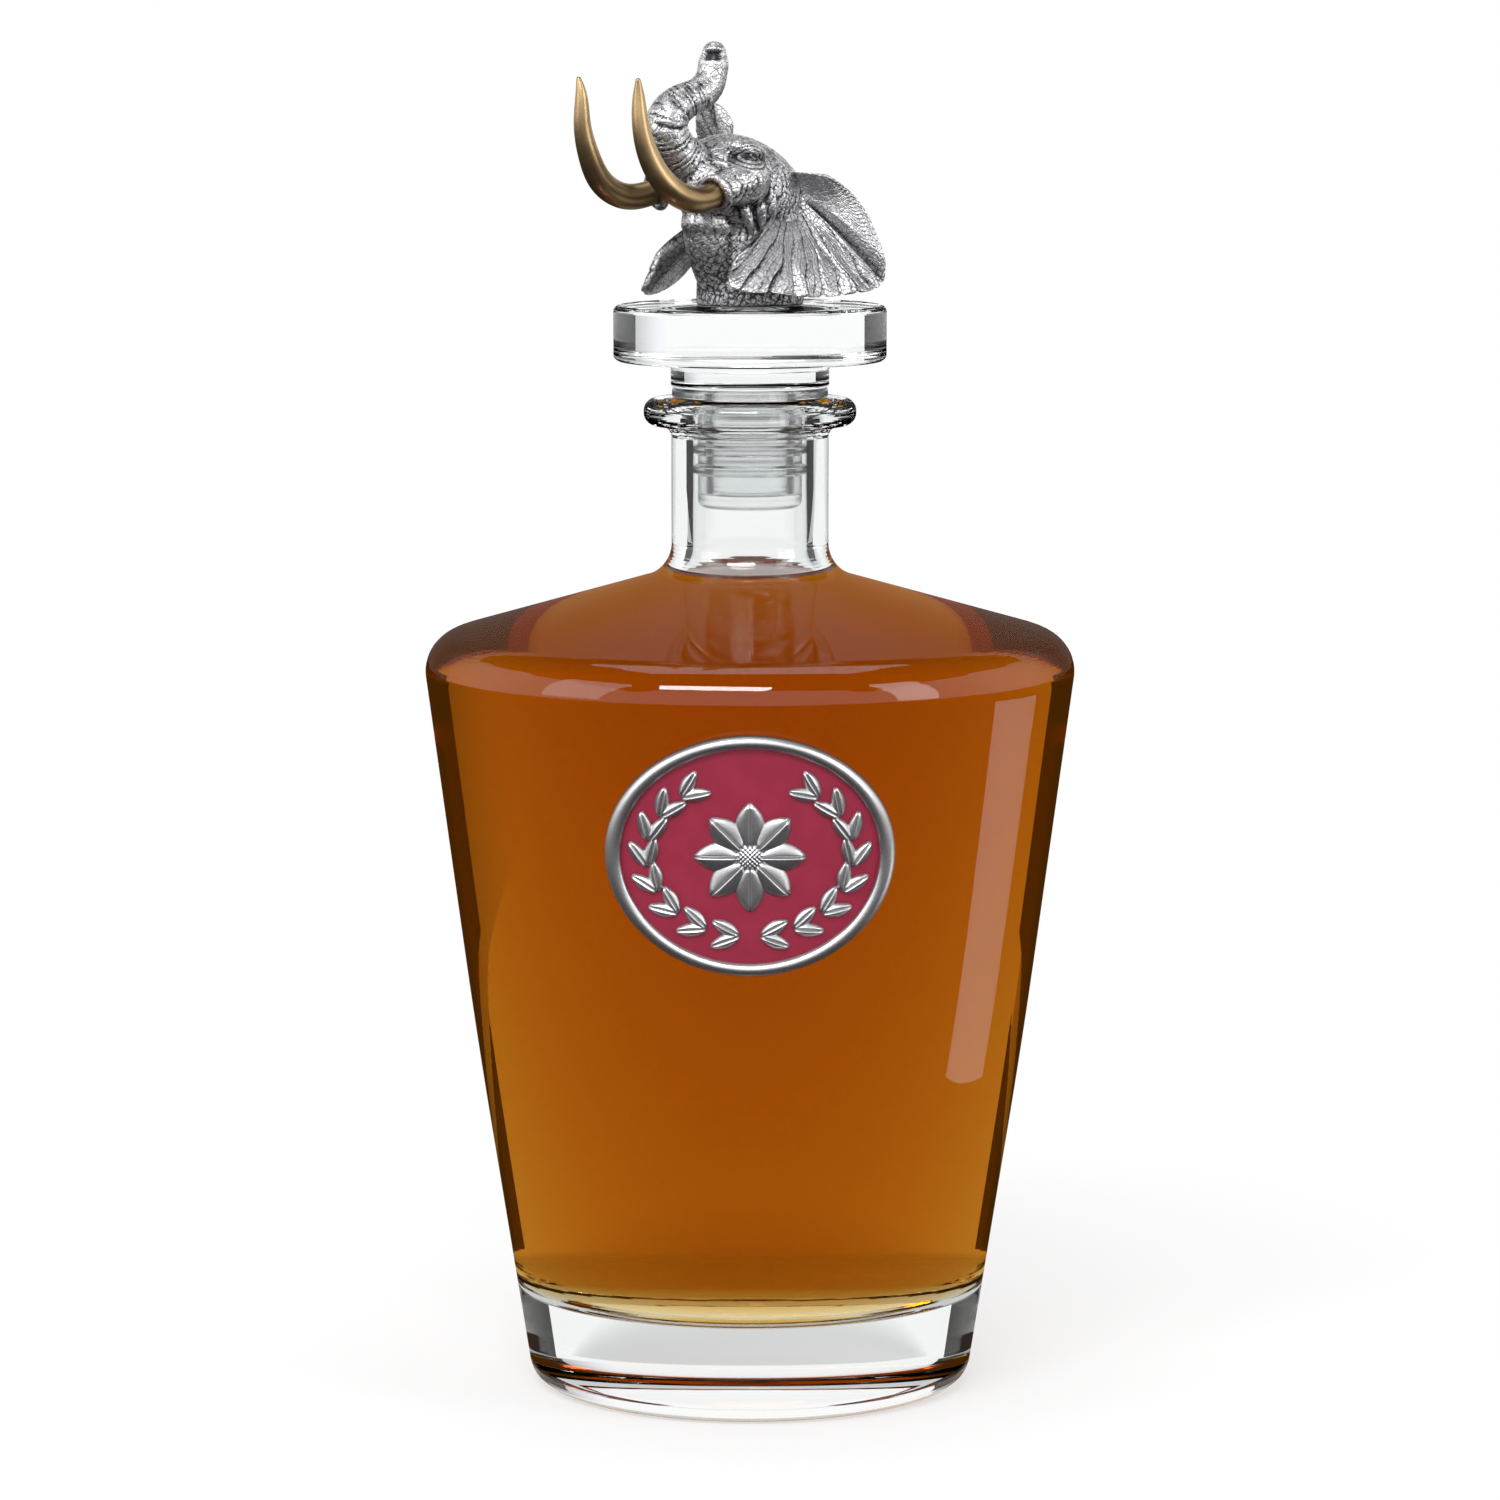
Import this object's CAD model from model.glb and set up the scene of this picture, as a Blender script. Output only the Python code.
# %% [markdown]
# A glass decanter with an elephant for a stopper handle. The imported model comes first, as a fixed frame in
# metres. Each piece made here takes the place of one or two of its nodes, apart from the spirit, which is
# what the bottle holds and no part of it. Sizes of the pieces are in millimetres, as on a drawing, and are
# turned to metres only when a mesh is made. Sizes of the set are in metres.

# %% Frame and tools
import math
import bpy
import bmesh
import numpy as np
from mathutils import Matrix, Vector


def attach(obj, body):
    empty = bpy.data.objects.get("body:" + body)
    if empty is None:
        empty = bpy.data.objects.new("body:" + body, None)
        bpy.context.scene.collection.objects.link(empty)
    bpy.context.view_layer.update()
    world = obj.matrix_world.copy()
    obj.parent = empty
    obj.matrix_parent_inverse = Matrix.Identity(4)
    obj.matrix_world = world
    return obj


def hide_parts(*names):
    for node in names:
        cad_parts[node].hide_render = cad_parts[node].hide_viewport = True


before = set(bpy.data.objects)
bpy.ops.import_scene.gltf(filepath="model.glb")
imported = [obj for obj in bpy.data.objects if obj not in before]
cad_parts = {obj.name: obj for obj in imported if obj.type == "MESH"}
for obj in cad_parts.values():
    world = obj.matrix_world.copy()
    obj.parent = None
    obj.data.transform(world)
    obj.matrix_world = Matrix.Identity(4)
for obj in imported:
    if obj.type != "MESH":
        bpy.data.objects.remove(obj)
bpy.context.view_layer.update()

MM = 0.001
FULL_TURN = 2 * math.pi
scene = bpy.context.scene
scene.view_settings.view_transform = "Standard"
print("nodes", sorted(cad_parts))

# %% [markdown]
# Two small tools serve every material. One turns a hex colour, which is how a screen or a paint chart
# names it, into the linear light values that Blender works with. The other adds a node, sets it and
# links it, so that a material reads as a list of what it is made of.

# %% Colour and node tools


def linear(hex_colour):
    """sRGB hex to linear light: c / 12.92 below 0.04045, else ((c + 0.055) / 1.055) to the power 2.4."""
    channels = np.array([int(hex_colour[place:place + 2], 16) for place in (1, 3, 5)]) / 255.0
    light = np.where(channels <= 0.04045, channels / 12.92, ((channels + 0.055) / 1.055) ** 2.4)
    return (*light.tolist(), 1.0)


def add_node(tree, kind, inputs, **settings):
    """Adds a node. An input is a value to set, an output to link, or a node whose first output is linked."""
    node = tree.nodes.new("ShaderNode" + kind)
    for name, value in settings.items():
        setattr(node, name, value)
    for name, value in inputs.items():
        if isinstance(value, bpy.types.Node):
            value = next(output for output in value.outputs if output.enabled)
        if isinstance(value, bpy.types.NodeSocket):
            tree.links.new(value, node.inputs[name])
        else:
            node.inputs[name].default_value = value
    return node


def new_material(name):
    """An empty material and its node tree."""
    material = bpy.data.materials.new(name)
    material.use_nodes = True
    material.node_tree.nodes.clear()
    return material, material.node_tree


def per_metre(size_mm):
    """Scale of a pattern whose features are size_mm across: one over that size, for coordinates in metres."""
    return 1.0 / (size_mm * MM)


WHITE = linear("#FFFFFF")
print("white in linear light", WHITE)

# %% [markdown]
# The bottle and the stopper are soda-lime glass, pressed in a mould and fire polished. The eye sees clear
# glass with a very slight wave from the mould, so the bump is shallow and its waves are a few centimetres
# long. The index of refraction is 1.5 and the glass hardly takes any colour. One glass shader would do, but
# its edges would mirror the white room. A photographer of glass turns a polarising filter until that glare
# goes. The mix of two shaders does the same: one bends light without any mirror image, and the other
# mirrors as glass does.

# %% Pressed glass
GLASS_INDEX, GLASS_TINT = 1.5, "#FBFDFC"
FILTER_FROM, FILTER_TO, FILTER_LEAVES = 0.25, 0.7, 0.08


def pressed_glass(name, wave_mm, wave_depth_mm, mirror):
    """Fire polished glass with mould waves of a length and a depth, and a share of its reflection.

    The filter leaves 8 % of the reflection where the cosine of the viewing angle is below 0.25 and all of it
    above 0.7. Light inside the glass that meets its face at more than the critical angle, where the cosine
    is below sqrt(1 - 1 / index ** 2), is reflected whole.
    """
    material, tree = new_material(name)
    place = add_node(tree, "TexCoord", {})
    waves = add_node(tree, "TexNoise",
                     {"Vector": place.outputs["Object"], "Scale": per_metre(wave_mm), "Detail": 1.0})
    bump = add_node(tree, "Bump", {"Height": waves, "Strength": 1.0, "Distance": wave_depth_mm * MM})
    face = add_node(tree, "NewGeometry", {})
    cosine = add_node(tree, "VectorMath", {0: face.outputs["Incoming"], 1: face.outputs["Normal"]},
                      operation="DOT_PRODUCT")
    steep = add_node(tree, "Math", {0: cosine}, operation="ABSOLUTE")
    beyond = add_node(tree, "Math", {0: steep, 1: math.sqrt(1 - 1 / GLASS_INDEX ** 2)}, operation="LESS_THAN")
    total = add_node(tree, "Math", {0: beyond, 1: face.outputs["Backfacing"]}, operation="MULTIPLY")
    filtered = add_node(tree, "MapRange", {"Value": steep, "From Min": FILTER_FROM, "From Max": FILTER_TO,
                                           "To Min": FILTER_LEAVES * mirror, "To Max": mirror},
                        interpolation_type="SMOOTHSTEP")
    shine = add_node(tree, "Math", {0: total, 1: filtered}, operation="MAXIMUM")
    clear = {"Roughness": 0.0, "IOR": GLASS_INDEX, "Normal": bump}
    bending = add_node(tree, "BsdfRefraction", {"Color": linear(GLASS_TINT), **clear})
    mirroring = add_node(tree, "BsdfPrincipled",
                         {"Base Color": linear(GLASS_TINT), "Transmission Weight": 1.0, **clear})
    surface = add_node(tree, "MixShader", {0: shine, 1: bending, 2: mirroring})
    add_node(tree, "OutputMaterial", {"Surface": surface})
    return material


bottle_glass = pressed_glass("pressed clear glass", 30.0, 0.05, 1.0)
wetted_glass = pressed_glass("pressed clear glass under spirit", 30.0, 0.05, 0.0)
stopper_clear = pressed_glass("polished stopper glass", 18.0, 0.02, 1.0)
print("glass", bottle_glass.name, wetted_glass.name, stopper_clear.name)

# %% [markdown]
# The spirit is a clear amber liquid. Its colour could be painted on its skin, but a real spirit is pale
# where it is thin and dark where it is deep, so the colour is an absorption by depth. A faint glow stands
# in for the light that bounces round in the bottle more often than a render follows it.

# %% Amber spirit
SPIRIT_INDEX, SPIRIT_DENSITY, SPIRIT_GLOW = 1.36, 80.0, 1.1


def amber(name, mirror):
    """Amber spirit that takes the blue and part of the green out of light by the depth it passes."""
    material, tree = new_material(name)
    clear = {"Roughness": 0.0, "IOR": SPIRIT_INDEX}
    bending = add_node(tree, "BsdfRefraction", {"Color": WHITE, **clear})
    mirroring = add_node(tree, "BsdfPrincipled", {"Base Color": WHITE, "Transmission Weight": 1.0, **clear})
    surface = add_node(tree, "MixShader", {0: mirror, 1: bending, 2: mirroring})
    depth = add_node(tree, "VolumeAbsorption", {"Color": linear("#ECCA00"), "Density": SPIRIT_DENSITY})
    haze = add_node(tree, "Emission", {"Color": linear("#FFBC00"), "Strength": SPIRIT_GLOW})
    inside = add_node(tree, "AddShader", {0: depth, 1: haze})
    add_node(tree, "OutputMaterial", {"Surface": surface, "Volume": inside})
    return material


# The spirit hardly mirrors where it wets the glass and mirrors as any liquid does at its open surface.
amber_spirit = amber("amber spirit", 0.0)
open_spirit = amber("amber spirit at its surface", 1.0)
print("spirit", amber_spirit.name, open_spirit.name)

# %% [markdown]
# Three materials are moulded or poured plastics and resins. What keeps such a surface from looking like a
# computer's is a faint cloud in its colour, a few millimetres across, so one function makes them all.

# %% Plastic, adhesive and enamel


def clouded(name, cloud_mm, detail, first, second, finish):
    """A plain material whose colour drifts between two shades in soft clouds of a size."""
    material, tree = new_material(name)
    place = add_node(tree, "TexCoord", {})
    cloud = add_node(tree, "TexNoise",
                     {"Vector": place.outputs["Object"], "Scale": per_metre(cloud_mm), "Detail": detail})
    colour = add_node(tree, "Mix", {"Factor": cloud, "A": linear(first), "B": linear(second)},
                      data_type="RGBA")
    surface = add_node(tree, "BsdfPrincipled", {"Base Color": colour, **finish})
    add_node(tree, "OutputMaterial", {"Surface": surface})
    return material


# Moulded polyethylene: milky and waxy, light comes through it softly.
sleeve_plastic = clouded("moulded polyethylene", 4.0, 2.0, "#F6F6F8", "#FEFEFF",
                         {"Roughness": 0.18, "IOR": 1.45, "Transmission Weight": 1.0})
# Clear cured adhesive: a film seen only at its edges, slightly hazy.
clear_adhesive = clouded("clear cured adhesive", 1.5, 2.0, "#D8D8D6", "#EDEDEB",
                         {"Roughness": 0.2, "IOR": 1.48, "Transmission Weight": 0.8})
# Crimson cold enamel: a resin that settles flat in the plate's low field, softly glossy.
crimson_enamel = clouded("crimson cold enamel", 3.0, 3.0, "#82182F", "#93213F",
                         {"Roughness": 0.32, "IOR": 1.5})
print("clouded", sleeve_plastic.name, clear_adhesive.name, crimson_enamel.name)

# %% [markdown]
# The figure and the medallion are cast pewter, blackened and then rubbed bright on the high spots. Each
# mesh carries a number called patina at every point, 0 where the rubbing reached and 1 in the grooves. It
# could be painted by hand, but worked out from the shape it lies where a cloth can't reach. The skin also
# has a net of creases about a millimetre apart, too fine for the mesh, from a Voronoi pattern.

# %% Antiqued pewter
CREASE_EDGE, GRAIN_MM, GRAIN_SHARE, DULLER = 0.16, 0.35, 0.3, 0.25


def antiqued_pewter(name, crease_mm, crease_depth_mm, soot, bright, dark, roughness):
    """Cast pewter, dark by the patina attribute, with creases of a spacing, a depth and a share of soot."""
    material, tree = new_material(name)
    place = add_node(tree, "TexCoord", {}).outputs["Object"]
    wander = add_node(tree, "TexNoise", {"Vector": place, "Scale": per_metre(crease_mm * 2), "Detail": 2.0})
    shift = add_node(tree, "VectorMath", {0: wander.outputs["Color"], "Scale": crease_mm * MM},
                     operation="SCALE")
    bent = add_node(tree, "VectorMath", {0: place, 1: shift}, operation="ADD")
    cells = add_node(tree, "TexVoronoi", {"Vector": bent, "Scale": per_metre(crease_mm)},
                     feature="DISTANCE_TO_EDGE")
    crease = add_node(tree, "MapRange", {"Value": cells, "From Min": 0.0, "From Max": CREASE_EDGE,
                                         "To Min": 0.0, "To Max": 1.0}, interpolation_type="SMOOTHSTEP")
    grain = add_node(tree, "TexNoise", {"Vector": place, "Scale": per_metre(GRAIN_MM), "Detail": 3.0})
    height = add_node(tree, "Math", {0: grain, 1: GRAIN_SHARE, 2: crease}, operation="MULTIPLY_ADD")
    bump = add_node(tree, "Bump", {"Height": height, "Strength": 1.0, "Distance": crease_depth_mm * MM})
    patina = add_node(tree, "Attribute", {}, attribute_name="patina")
    fine = add_node(tree, "MapRange", {"Value": crease, "From Min": 0.0, "From Max": 1.0,
                                       "To Min": soot, "To Max": 0.0})
    stain = add_node(tree, "Math", {0: patina.outputs["Fac"], 1: fine}, operation="ADD", use_clamp=True)
    colour = add_node(tree, "Mix", {"Factor": stain, "A": linear(bright), "B": linear(dark)},
                      data_type="RGBA")
    rough = add_node(tree, "MapRange", {"Value": stain, "From Min": 0.0, "From Max": 1.0,
                                        "To Min": roughness, "To Max": roughness + DULLER})
    metal = add_node(tree, "BsdfPrincipled",
                     {"Base Color": colour, "Metallic": 1.0, "Roughness": rough, "Normal": bump})
    add_node(tree, "OutputMaterial", {"Surface": metal})
    return material


skin_pewter = antiqued_pewter("antiqued cast pewter skin", 0.9, 0.035, 0.42, "#E4E4E6", "#424143", 0.34)
plate_pewter = antiqued_pewter("antiqued cast pewter plate", 0.8, 0.006, 0.08, "#F0F0F2", "#565557", 0.36)
print("pewter", skin_pewter.name, plate_pewter.name)

# %% [markdown]
# The tusks are cast, plated with bronze and brushed to a satin. The eye sees a warm metal, mottled over a
# couple of millimetres and darker where hands don't rub it. Real brushing is finer than a render shows, so
# its marks are drawn 0.4 mm wide. They are a bump and no mesh, because only the shine should change.

# %% Satin bronze
MOTTLE_MM, MOTTLE_SHARE, BRUSH_MM, BRUSH_DEPTH_MM = 2.2, 0.5, 0.4, 0.012

satin_bronze, bronze_tree = new_material("satin bronze")
bronze_place = add_node(bronze_tree, "TexCoord", {}).outputs["Object"]
mottle = add_node(bronze_tree, "TexNoise",
                  {"Vector": bronze_place, "Scale": per_metre(MOTTLE_MM), "Detail": 4.0})
rubbed = add_node(bronze_tree, "Attribute", {}, attribute_name="patina").outputs["Fac"]
wear = add_node(bronze_tree, "Math", {0: mottle, 1: MOTTLE_SHARE, 2: rubbed}, operation="MULTIPLY_ADD",
                use_clamp=True)
warm = add_node(bronze_tree, "Mix", {"Factor": wear, "A": linear("#C9AC80"), "B": linear("#6E5A3E")},
                data_type="RGBA")
brushing = add_node(bronze_tree, "TexNoise",
                    {"Vector": bronze_place, "Scale": per_metre(BRUSH_MM), "Detail": 2.0})
brushed = add_node(bronze_tree, "Bump",
                   {"Height": brushing, "Strength": 1.0, "Distance": BRUSH_DEPTH_MM * MM})
plating = add_node(bronze_tree, "BsdfPrincipled",
                   {"Base Color": warm, "Metallic": 1.0, "Roughness": 0.36, "Normal": brushed})
add_node(bronze_tree, "OutputMaterial", {"Surface": plating})
print("bronze", satin_bronze.name)

# %% [markdown]
# Every new piece is a grid of points worked out as whole arrays. Modelling by hand could give such shapes
# too, but a formula can be read and changed. These tools number a grid's faces, put the points into a mesh,
# close the seams where points meet, and give the piece to its body.

# %% Grid tools
SEAM = 1e-7


def grid_quads(rows, columns, wrap):
    """Faces of a grid of points numbered row by row; wrap joins the last column to the first."""
    row, column = np.meshgrid(np.arange(rows - 1), np.arange(columns if wrap else columns - 1), indexing="ij")
    following = (column + 1) % columns
    corners = [row * columns + column, row * columns + following,
               (row + 1) * columns + following, (row + 1) * columns + column]
    return np.stack(corners, -1).reshape(-1, 4)


def join_grids(grids):
    """One list of points and one of faces from several (points, wrap) grids."""
    points, quads, first = [], [], 0
    for grid, wrap in grids:
        quads.append(grid_quads(grid.shape[0], grid.shape[1], wrap) + first)
        points.append(grid.reshape(-1, 3))
        first += len(points[-1])
    return np.concatenate(points), np.concatenate(quads)


def set_patina(mesh, values):
    """Stores a number from 0 to 1 at each point for the material to read."""
    layer = mesh.attributes.new("patina", "FLOAT", "POINT")
    layer.data.foreach_set("value", np.clip(values, 0, 1).astype(np.float32))


def make_mesh(name, points, quads, patina=None):
    """A closed, outward-facing smooth mesh in metres from points in millimetres, with any patina given."""
    mesh = bpy.data.meshes.new(name)
    mesh.from_pydata((points * MM).tolist(), [], quads.tolist())
    if patina is not None:
        set_patina(mesh, patina)
    work = bmesh.new()
    work.from_mesh(mesh)
    bmesh.ops.remove_doubles(work, verts=work.verts, dist=SEAM)
    bmesh.ops.recalc_face_normals(work, faces=work.faces)
    work.to_mesh(mesh)
    work.free()
    mesh.shade_smooth()
    return mesh


def mesh_points(mesh):
    """A mesh's points as an array, in millimetres."""
    values = np.zeros(len(mesh.vertices) * 3)
    mesh.vertices.foreach_get("co", values)
    return values.reshape(-1, 3) / MM


def add_piece(name, mesh, material, body, slot, *nodes):
    """Puts a mesh in the scene on a body, in the place of the nodes it stands for."""
    mesh.materials.append(material)
    piece = bpy.data.objects.new(name, mesh)
    scene.collection.objects.link(piece)
    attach(piece, body)
    if nodes:
        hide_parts(*nodes)
    print(name, len(mesh.vertices), "points", len(mesh.polygons), "faces")
    return piece


print("points closer than", SEAM / MM, "mm become one")

# %% [markdown]
# The bottle, the sleeve and the stopper are turned shapes. An outline of corners, each with a rounding
# as a mould maker would give it, becomes a smooth profile, and the profile is carried round the axis. A
# Bevel modifier could round the corners too, but here each arc is exact and has as many points as it needs.

# %% Turning tools
BESIDE_CORNER = 0.25


def round_angles(count):
    """Angles from 0 up to a full turn in equal steps, without the last, which would be the first again."""
    return np.arange(count) * FULL_TURN / count


def rounded_profile(corners, arc_points=14):
    """Broken line of (radius, height, rounding) with each inner corner replaced by its tangent arc."""
    corners = np.array(corners, float)
    runs = [corners[:1, :2]]
    for before, corner, after in zip(corners[:-2], corners[1:-1], corners[2:]):
        back = (before - corner)[:2] / np.linalg.norm((before - corner)[:2])
        ahead = (after - corner)[:2] / np.linalg.norm((after - corner)[:2])
        half = math.acos(float(np.clip(back @ ahead, -1, 1))) / 2
        centre = corner[:2] + (back + ahead) / np.linalg.norm(back + ahead) * corner[2] / math.sin(half)
        start = corner[:2] + back * corner[2] / math.tan(half) - centre
        end = corner[:2] + ahead * corner[2] / math.tan(half) - centre
        first = math.atan2(start[1], start[0])
        sweep = (math.atan2(end[1], end[0]) - first + math.pi) % FULL_TURN - math.pi
        turn = first + sweep * np.linspace(0, 1, arc_points)
        runs.append(centre + corner[2] * np.stack([np.cos(turn), np.sin(turn)], -1))
    runs.append(corners[-1:, :2])
    return np.concatenate(runs)


def refined(profile, step):
    """The same line with extra points, beside each corner and never more than step apart.

    Points close beside a corner keep the shading of the long runs true.
    """
    stations = np.concatenate([[0], np.cumsum(np.linalg.norm(np.diff(profile, axis=0), axis=1))])
    near = np.concatenate([stations, stations + BESIDE_CORNER, stations - BESIDE_CORNER,
                           np.arange(0, stations[-1], step)])
    places = np.unique(np.round(np.clip(near, 0, stations[-1]), 3))
    radius, height = profile.T
    return np.stack([np.interp(places, stations, radius), np.interp(places, stations, height)], -1)


def offset(profile, distance):
    """The line moved sideways by a distance, to the left of its direction."""
    along = np.gradient(profile, axis=0)
    along /= np.linalg.norm(along, axis=1, keepdims=True)
    return profile + distance * np.stack([-along[:, 1], along[:, 0]], -1)


def turned(profile, segments):
    """x = r cos t, y = r sin t, z = h for each outline point (r, h) and each angle t."""
    angle = round_angles(segments)
    radius, height = profile[:, :1], profile[:, 1:]
    return np.stack([radius * np.cos(angle), radius * np.sin(angle), height + 0 * angle], -1)


def add_turned(name, profile, segments, material, body, slot, *nodes):
    """A piece turned from a profile."""
    points, quads = join_grids([(turned(profile, segments), True)])
    return add_piece(name, make_mesh(name, points, quads), material, body, slot, *nodes)


print("a quarter circle has", len(rounded_profile([(1, 0, 0), (1, 1, 1), (0, 1, 0)])), "points")

# %% [markdown]
# The bottle has a heavy base, a side that widens upwards in a barely bowed line, a sloping shoulder and a
# short neck with a lip ring. A Solidify modifier could give it a wall, but one of even thickness. Here the
# inner line has corners of its own, because the light bends at both and a heavy foot is what the eye sees.

# %% Bottle
BASE_RADIUS, MIDDLE_RADIUS, MIDDLE_HEIGHT, SIDE_BOW = 37.3, 46.8, 60.0, 1250.0
SHOULDER_RADIUS, SHOULDER_HEIGHT, SHOULDER_TOP = 55.9, 127.8, 140.0
NECK_RADIUS, BORE_RADIUS = 13.3, 9.75
WALL, SHOULDER_WALL, FLOOR_HEIGHT, FLOOR_DOME, DOME_RADIUS = 3.3, 3.4, 16.5, 1.3, 27.0
PUNT_RADIUS, PUNT_DEPTH = 26.0, 2.0
LIP_UNDER, LIP_TOP, LIP_RADIUS = 164.4, 169.0, 18.0
FOOT_ROUND, SHOULDER_ROUND, NECK_ROUND = 4.5, 7.0, 6.0
LIP_HOLLOW, LIP_ROUND, MOUTH_ROUND = 2.2, 2.1, 0.9
INNER_NECK_ROUND, INNER_SHOULDER_ROUND, FLOOR_ROUND = 9.0, 5.0, 6.5
SEGMENTS, GLASS_STEP, DOME_POINTS = 132, 3.0, 12

shoulder_slope = (SHOULDER_TOP - SHOULDER_HEIGHT) / (SHOULDER_RADIUS - NECK_RADIUS)
base_slope = (MIDDLE_RADIUS - BASE_RADIUS) / MIDDLE_HEIGHT
inner_neck_foot = SHOULDER_TOP - SHOULDER_WALL + (NECK_RADIUS - BORE_RADIUS) * shoulder_slope
inner_shoulder = SHOULDER_HEIGHT + WALL * shoulder_slope - SHOULDER_WALL
outer_corners = [(PUNT_RADIUS, 0.0, 0.0), (BASE_RADIUS, 0.0, FOOT_ROUND),
                 (MIDDLE_RADIUS, MIDDLE_HEIGHT, SIDE_BOW),
                 (SHOULDER_RADIUS, SHOULDER_HEIGHT, SHOULDER_ROUND), (NECK_RADIUS, SHOULDER_TOP, NECK_ROUND),
                 (NECK_RADIUS, LIP_UNDER, LIP_HOLLOW), (LIP_RADIUS, LIP_UNDER, LIP_ROUND),
                 (LIP_RADIUS, LIP_TOP, LIP_ROUND), (BORE_RADIUS, LIP_TOP, MOUTH_ROUND)]
inner_corners = [(BORE_RADIUS, inner_neck_foot, INNER_NECK_ROUND),
                 (SHOULDER_RADIUS - WALL, inner_shoulder, INNER_SHOULDER_ROUND),
                 (MIDDLE_RADIUS - WALL, MIDDLE_HEIGHT, SIDE_BOW),
                 (BASE_RADIUS + base_slope * FLOOR_HEIGHT - WALL, FLOOR_HEIGHT, FLOOR_ROUND),
                 (DOME_RADIUS, FLOOR_HEIGHT, 0.0)]
punt_run = np.linspace(0, PUNT_RADIUS, DOME_POINTS)[:-1]
punt = np.stack([punt_run, PUNT_DEPTH * (1 - (punt_run / PUNT_RADIUS) ** 2)], -1)
dome_run = np.linspace(DOME_RADIUS, 0, DOME_POINTS)[1:]
dome = np.stack([dome_run, FLOOR_HEIGHT + FLOOR_DOME * (1 - (dome_run / DOME_RADIUS) ** 2)], -1)
glass_line = refined(np.concatenate([punt, rounded_profile(outer_corners + inner_corners), dome]), GLASS_STEP)
bottle = add_turned("glass_bottle_clear", glass_line, SEGMENTS, bottle_glass,
                    "decanter", "bottle_glass", "glass_bottle")

# %% [markdown]
# The spirit fills the bottle to the foot of the neck. Its skin lies a hair inside the glass, so that a
# ray passes from glass to spirit with no film of air between, and it climbs the wall in a small meniscus.

# %% Spirit
SPIRIT_LEVEL, MENISCUS_RISE, MENISCUS_WIDTH, SPIRIT_OVERLAP = 138.3, 0.9, 1.3, 0.15
SKIN_POINTS, SKIN_UP, SKIN_NEAR = 40, 0.3, 0.1

wall_line = rounded_profile([(BORE_RADIUS, LIP_TOP, 0.0)] + inner_corners)
wall_line = offset(refined(np.concatenate([wall_line, dome]), GLASS_STEP), SPIRIT_OVERLAP)
wall_line[-1, 0] = 0.0
below = wall_line[wall_line[:, 1] < SPIRIT_LEVEL + MENISCUS_RISE]
edge_radius = below[0, 0]
skin_run = np.linspace(0, edge_radius, SKIN_POINTS)[:-1]
climb_of_skin = MENISCUS_RISE * np.exp((skin_run - edge_radius) / MENISCUS_WIDTH)
skin = np.stack([skin_run, SPIRIT_LEVEL + climb_of_skin], -1)
spirit = add_turned("amber_spirit", np.concatenate([skin, below]), SEGMENTS, amber_spirit, "decanter", None)

# %% [markdown]
# The same glass looks different dry and wet. Where spirit wets the wall, glass and spirit bend light almost
# alike and hardly mirror it, and only the spirit's open top mirrors as water does. So the faces of both
# meshes are sorted by where they lie and which way they face, and get one of two materials.

# %% Wet and open faces
WALL_FACES, FLOOR_FACES, FLOOR_ZONE, ON_AXIS = -0.02, 0.5, 8, 0.01


def face_values(mesh, name):
    """A mesh's face centres or face normals as an array."""
    values = np.zeros(len(mesh.polygons) * 3)
    mesh.polygons.foreach_get(name, values)
    return values.reshape(-1, 3)


def second_material(piece, material, chosen):
    """Gives the chosen faces of a piece a second material."""
    piece.data.materials.append(material)
    piece.data.polygons.foreach_set("material_index", chosen.astype(np.int32))


middles, ways = face_values(spirit.data, "center") / MM, face_values(spirit.data, "normal")
second_material(spirit, open_spirit, (ways[:, 2] > SKIN_UP) & (middles[:, 2] > SPIRIT_LEVEL - SKIN_NEAR))
middles, ways = face_values(bottle.data, "center") / MM, face_values(bottle.data, "normal")
from_axis = np.maximum(np.hypot(middles[:, 0], middles[:, 1]), ON_AXIS)
outward = np.sum(middles[:, :2] * ways[:, :2], axis=1) / from_axis
on_floor = (ways[:, 2] > FLOOR_FACES) & (middles[:, 2] < FLOOR_HEIGHT + FLOOR_ZONE)
wet = ((outward < WALL_FACES) | on_floor) & (middles[:, 2] < SPIRIT_LEVEL)
second_material(bottle, wetted_glass, wet)
print("wet faces", int(wet.sum()))

# %% [markdown]
# The sleeve is a soft plug with three ribs and a flange that lies on the lip. It is moulded in one, so it
# is one turned outline with each rib as four of its corners.

# %% Sleeve
FLANGE_TOP, PLUG_END, POST_END = 170.9, 150.6, 152.8
RIB_RADIUS, STEM_RADIUS, HOLE_RADIUS, FLANGE_RADIUS = 9.7, 8.85, 6.35, 13.2
RIB_HEIGHT, RIB_PITCH, FIRST_RIB, RIB_COUNT = 1.9, 3.4, 164.0, 3
RIB_FOOT_ROUND, RIB_ROUND, FLANGE_ROUND, PLUG_ROUND = 0.12, 0.28, 0.5, 1.5
SLEEVE_STEP, SLEEVE_ARC, SLEEVE_SEGMENTS = 1.5, 7, 128

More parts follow.
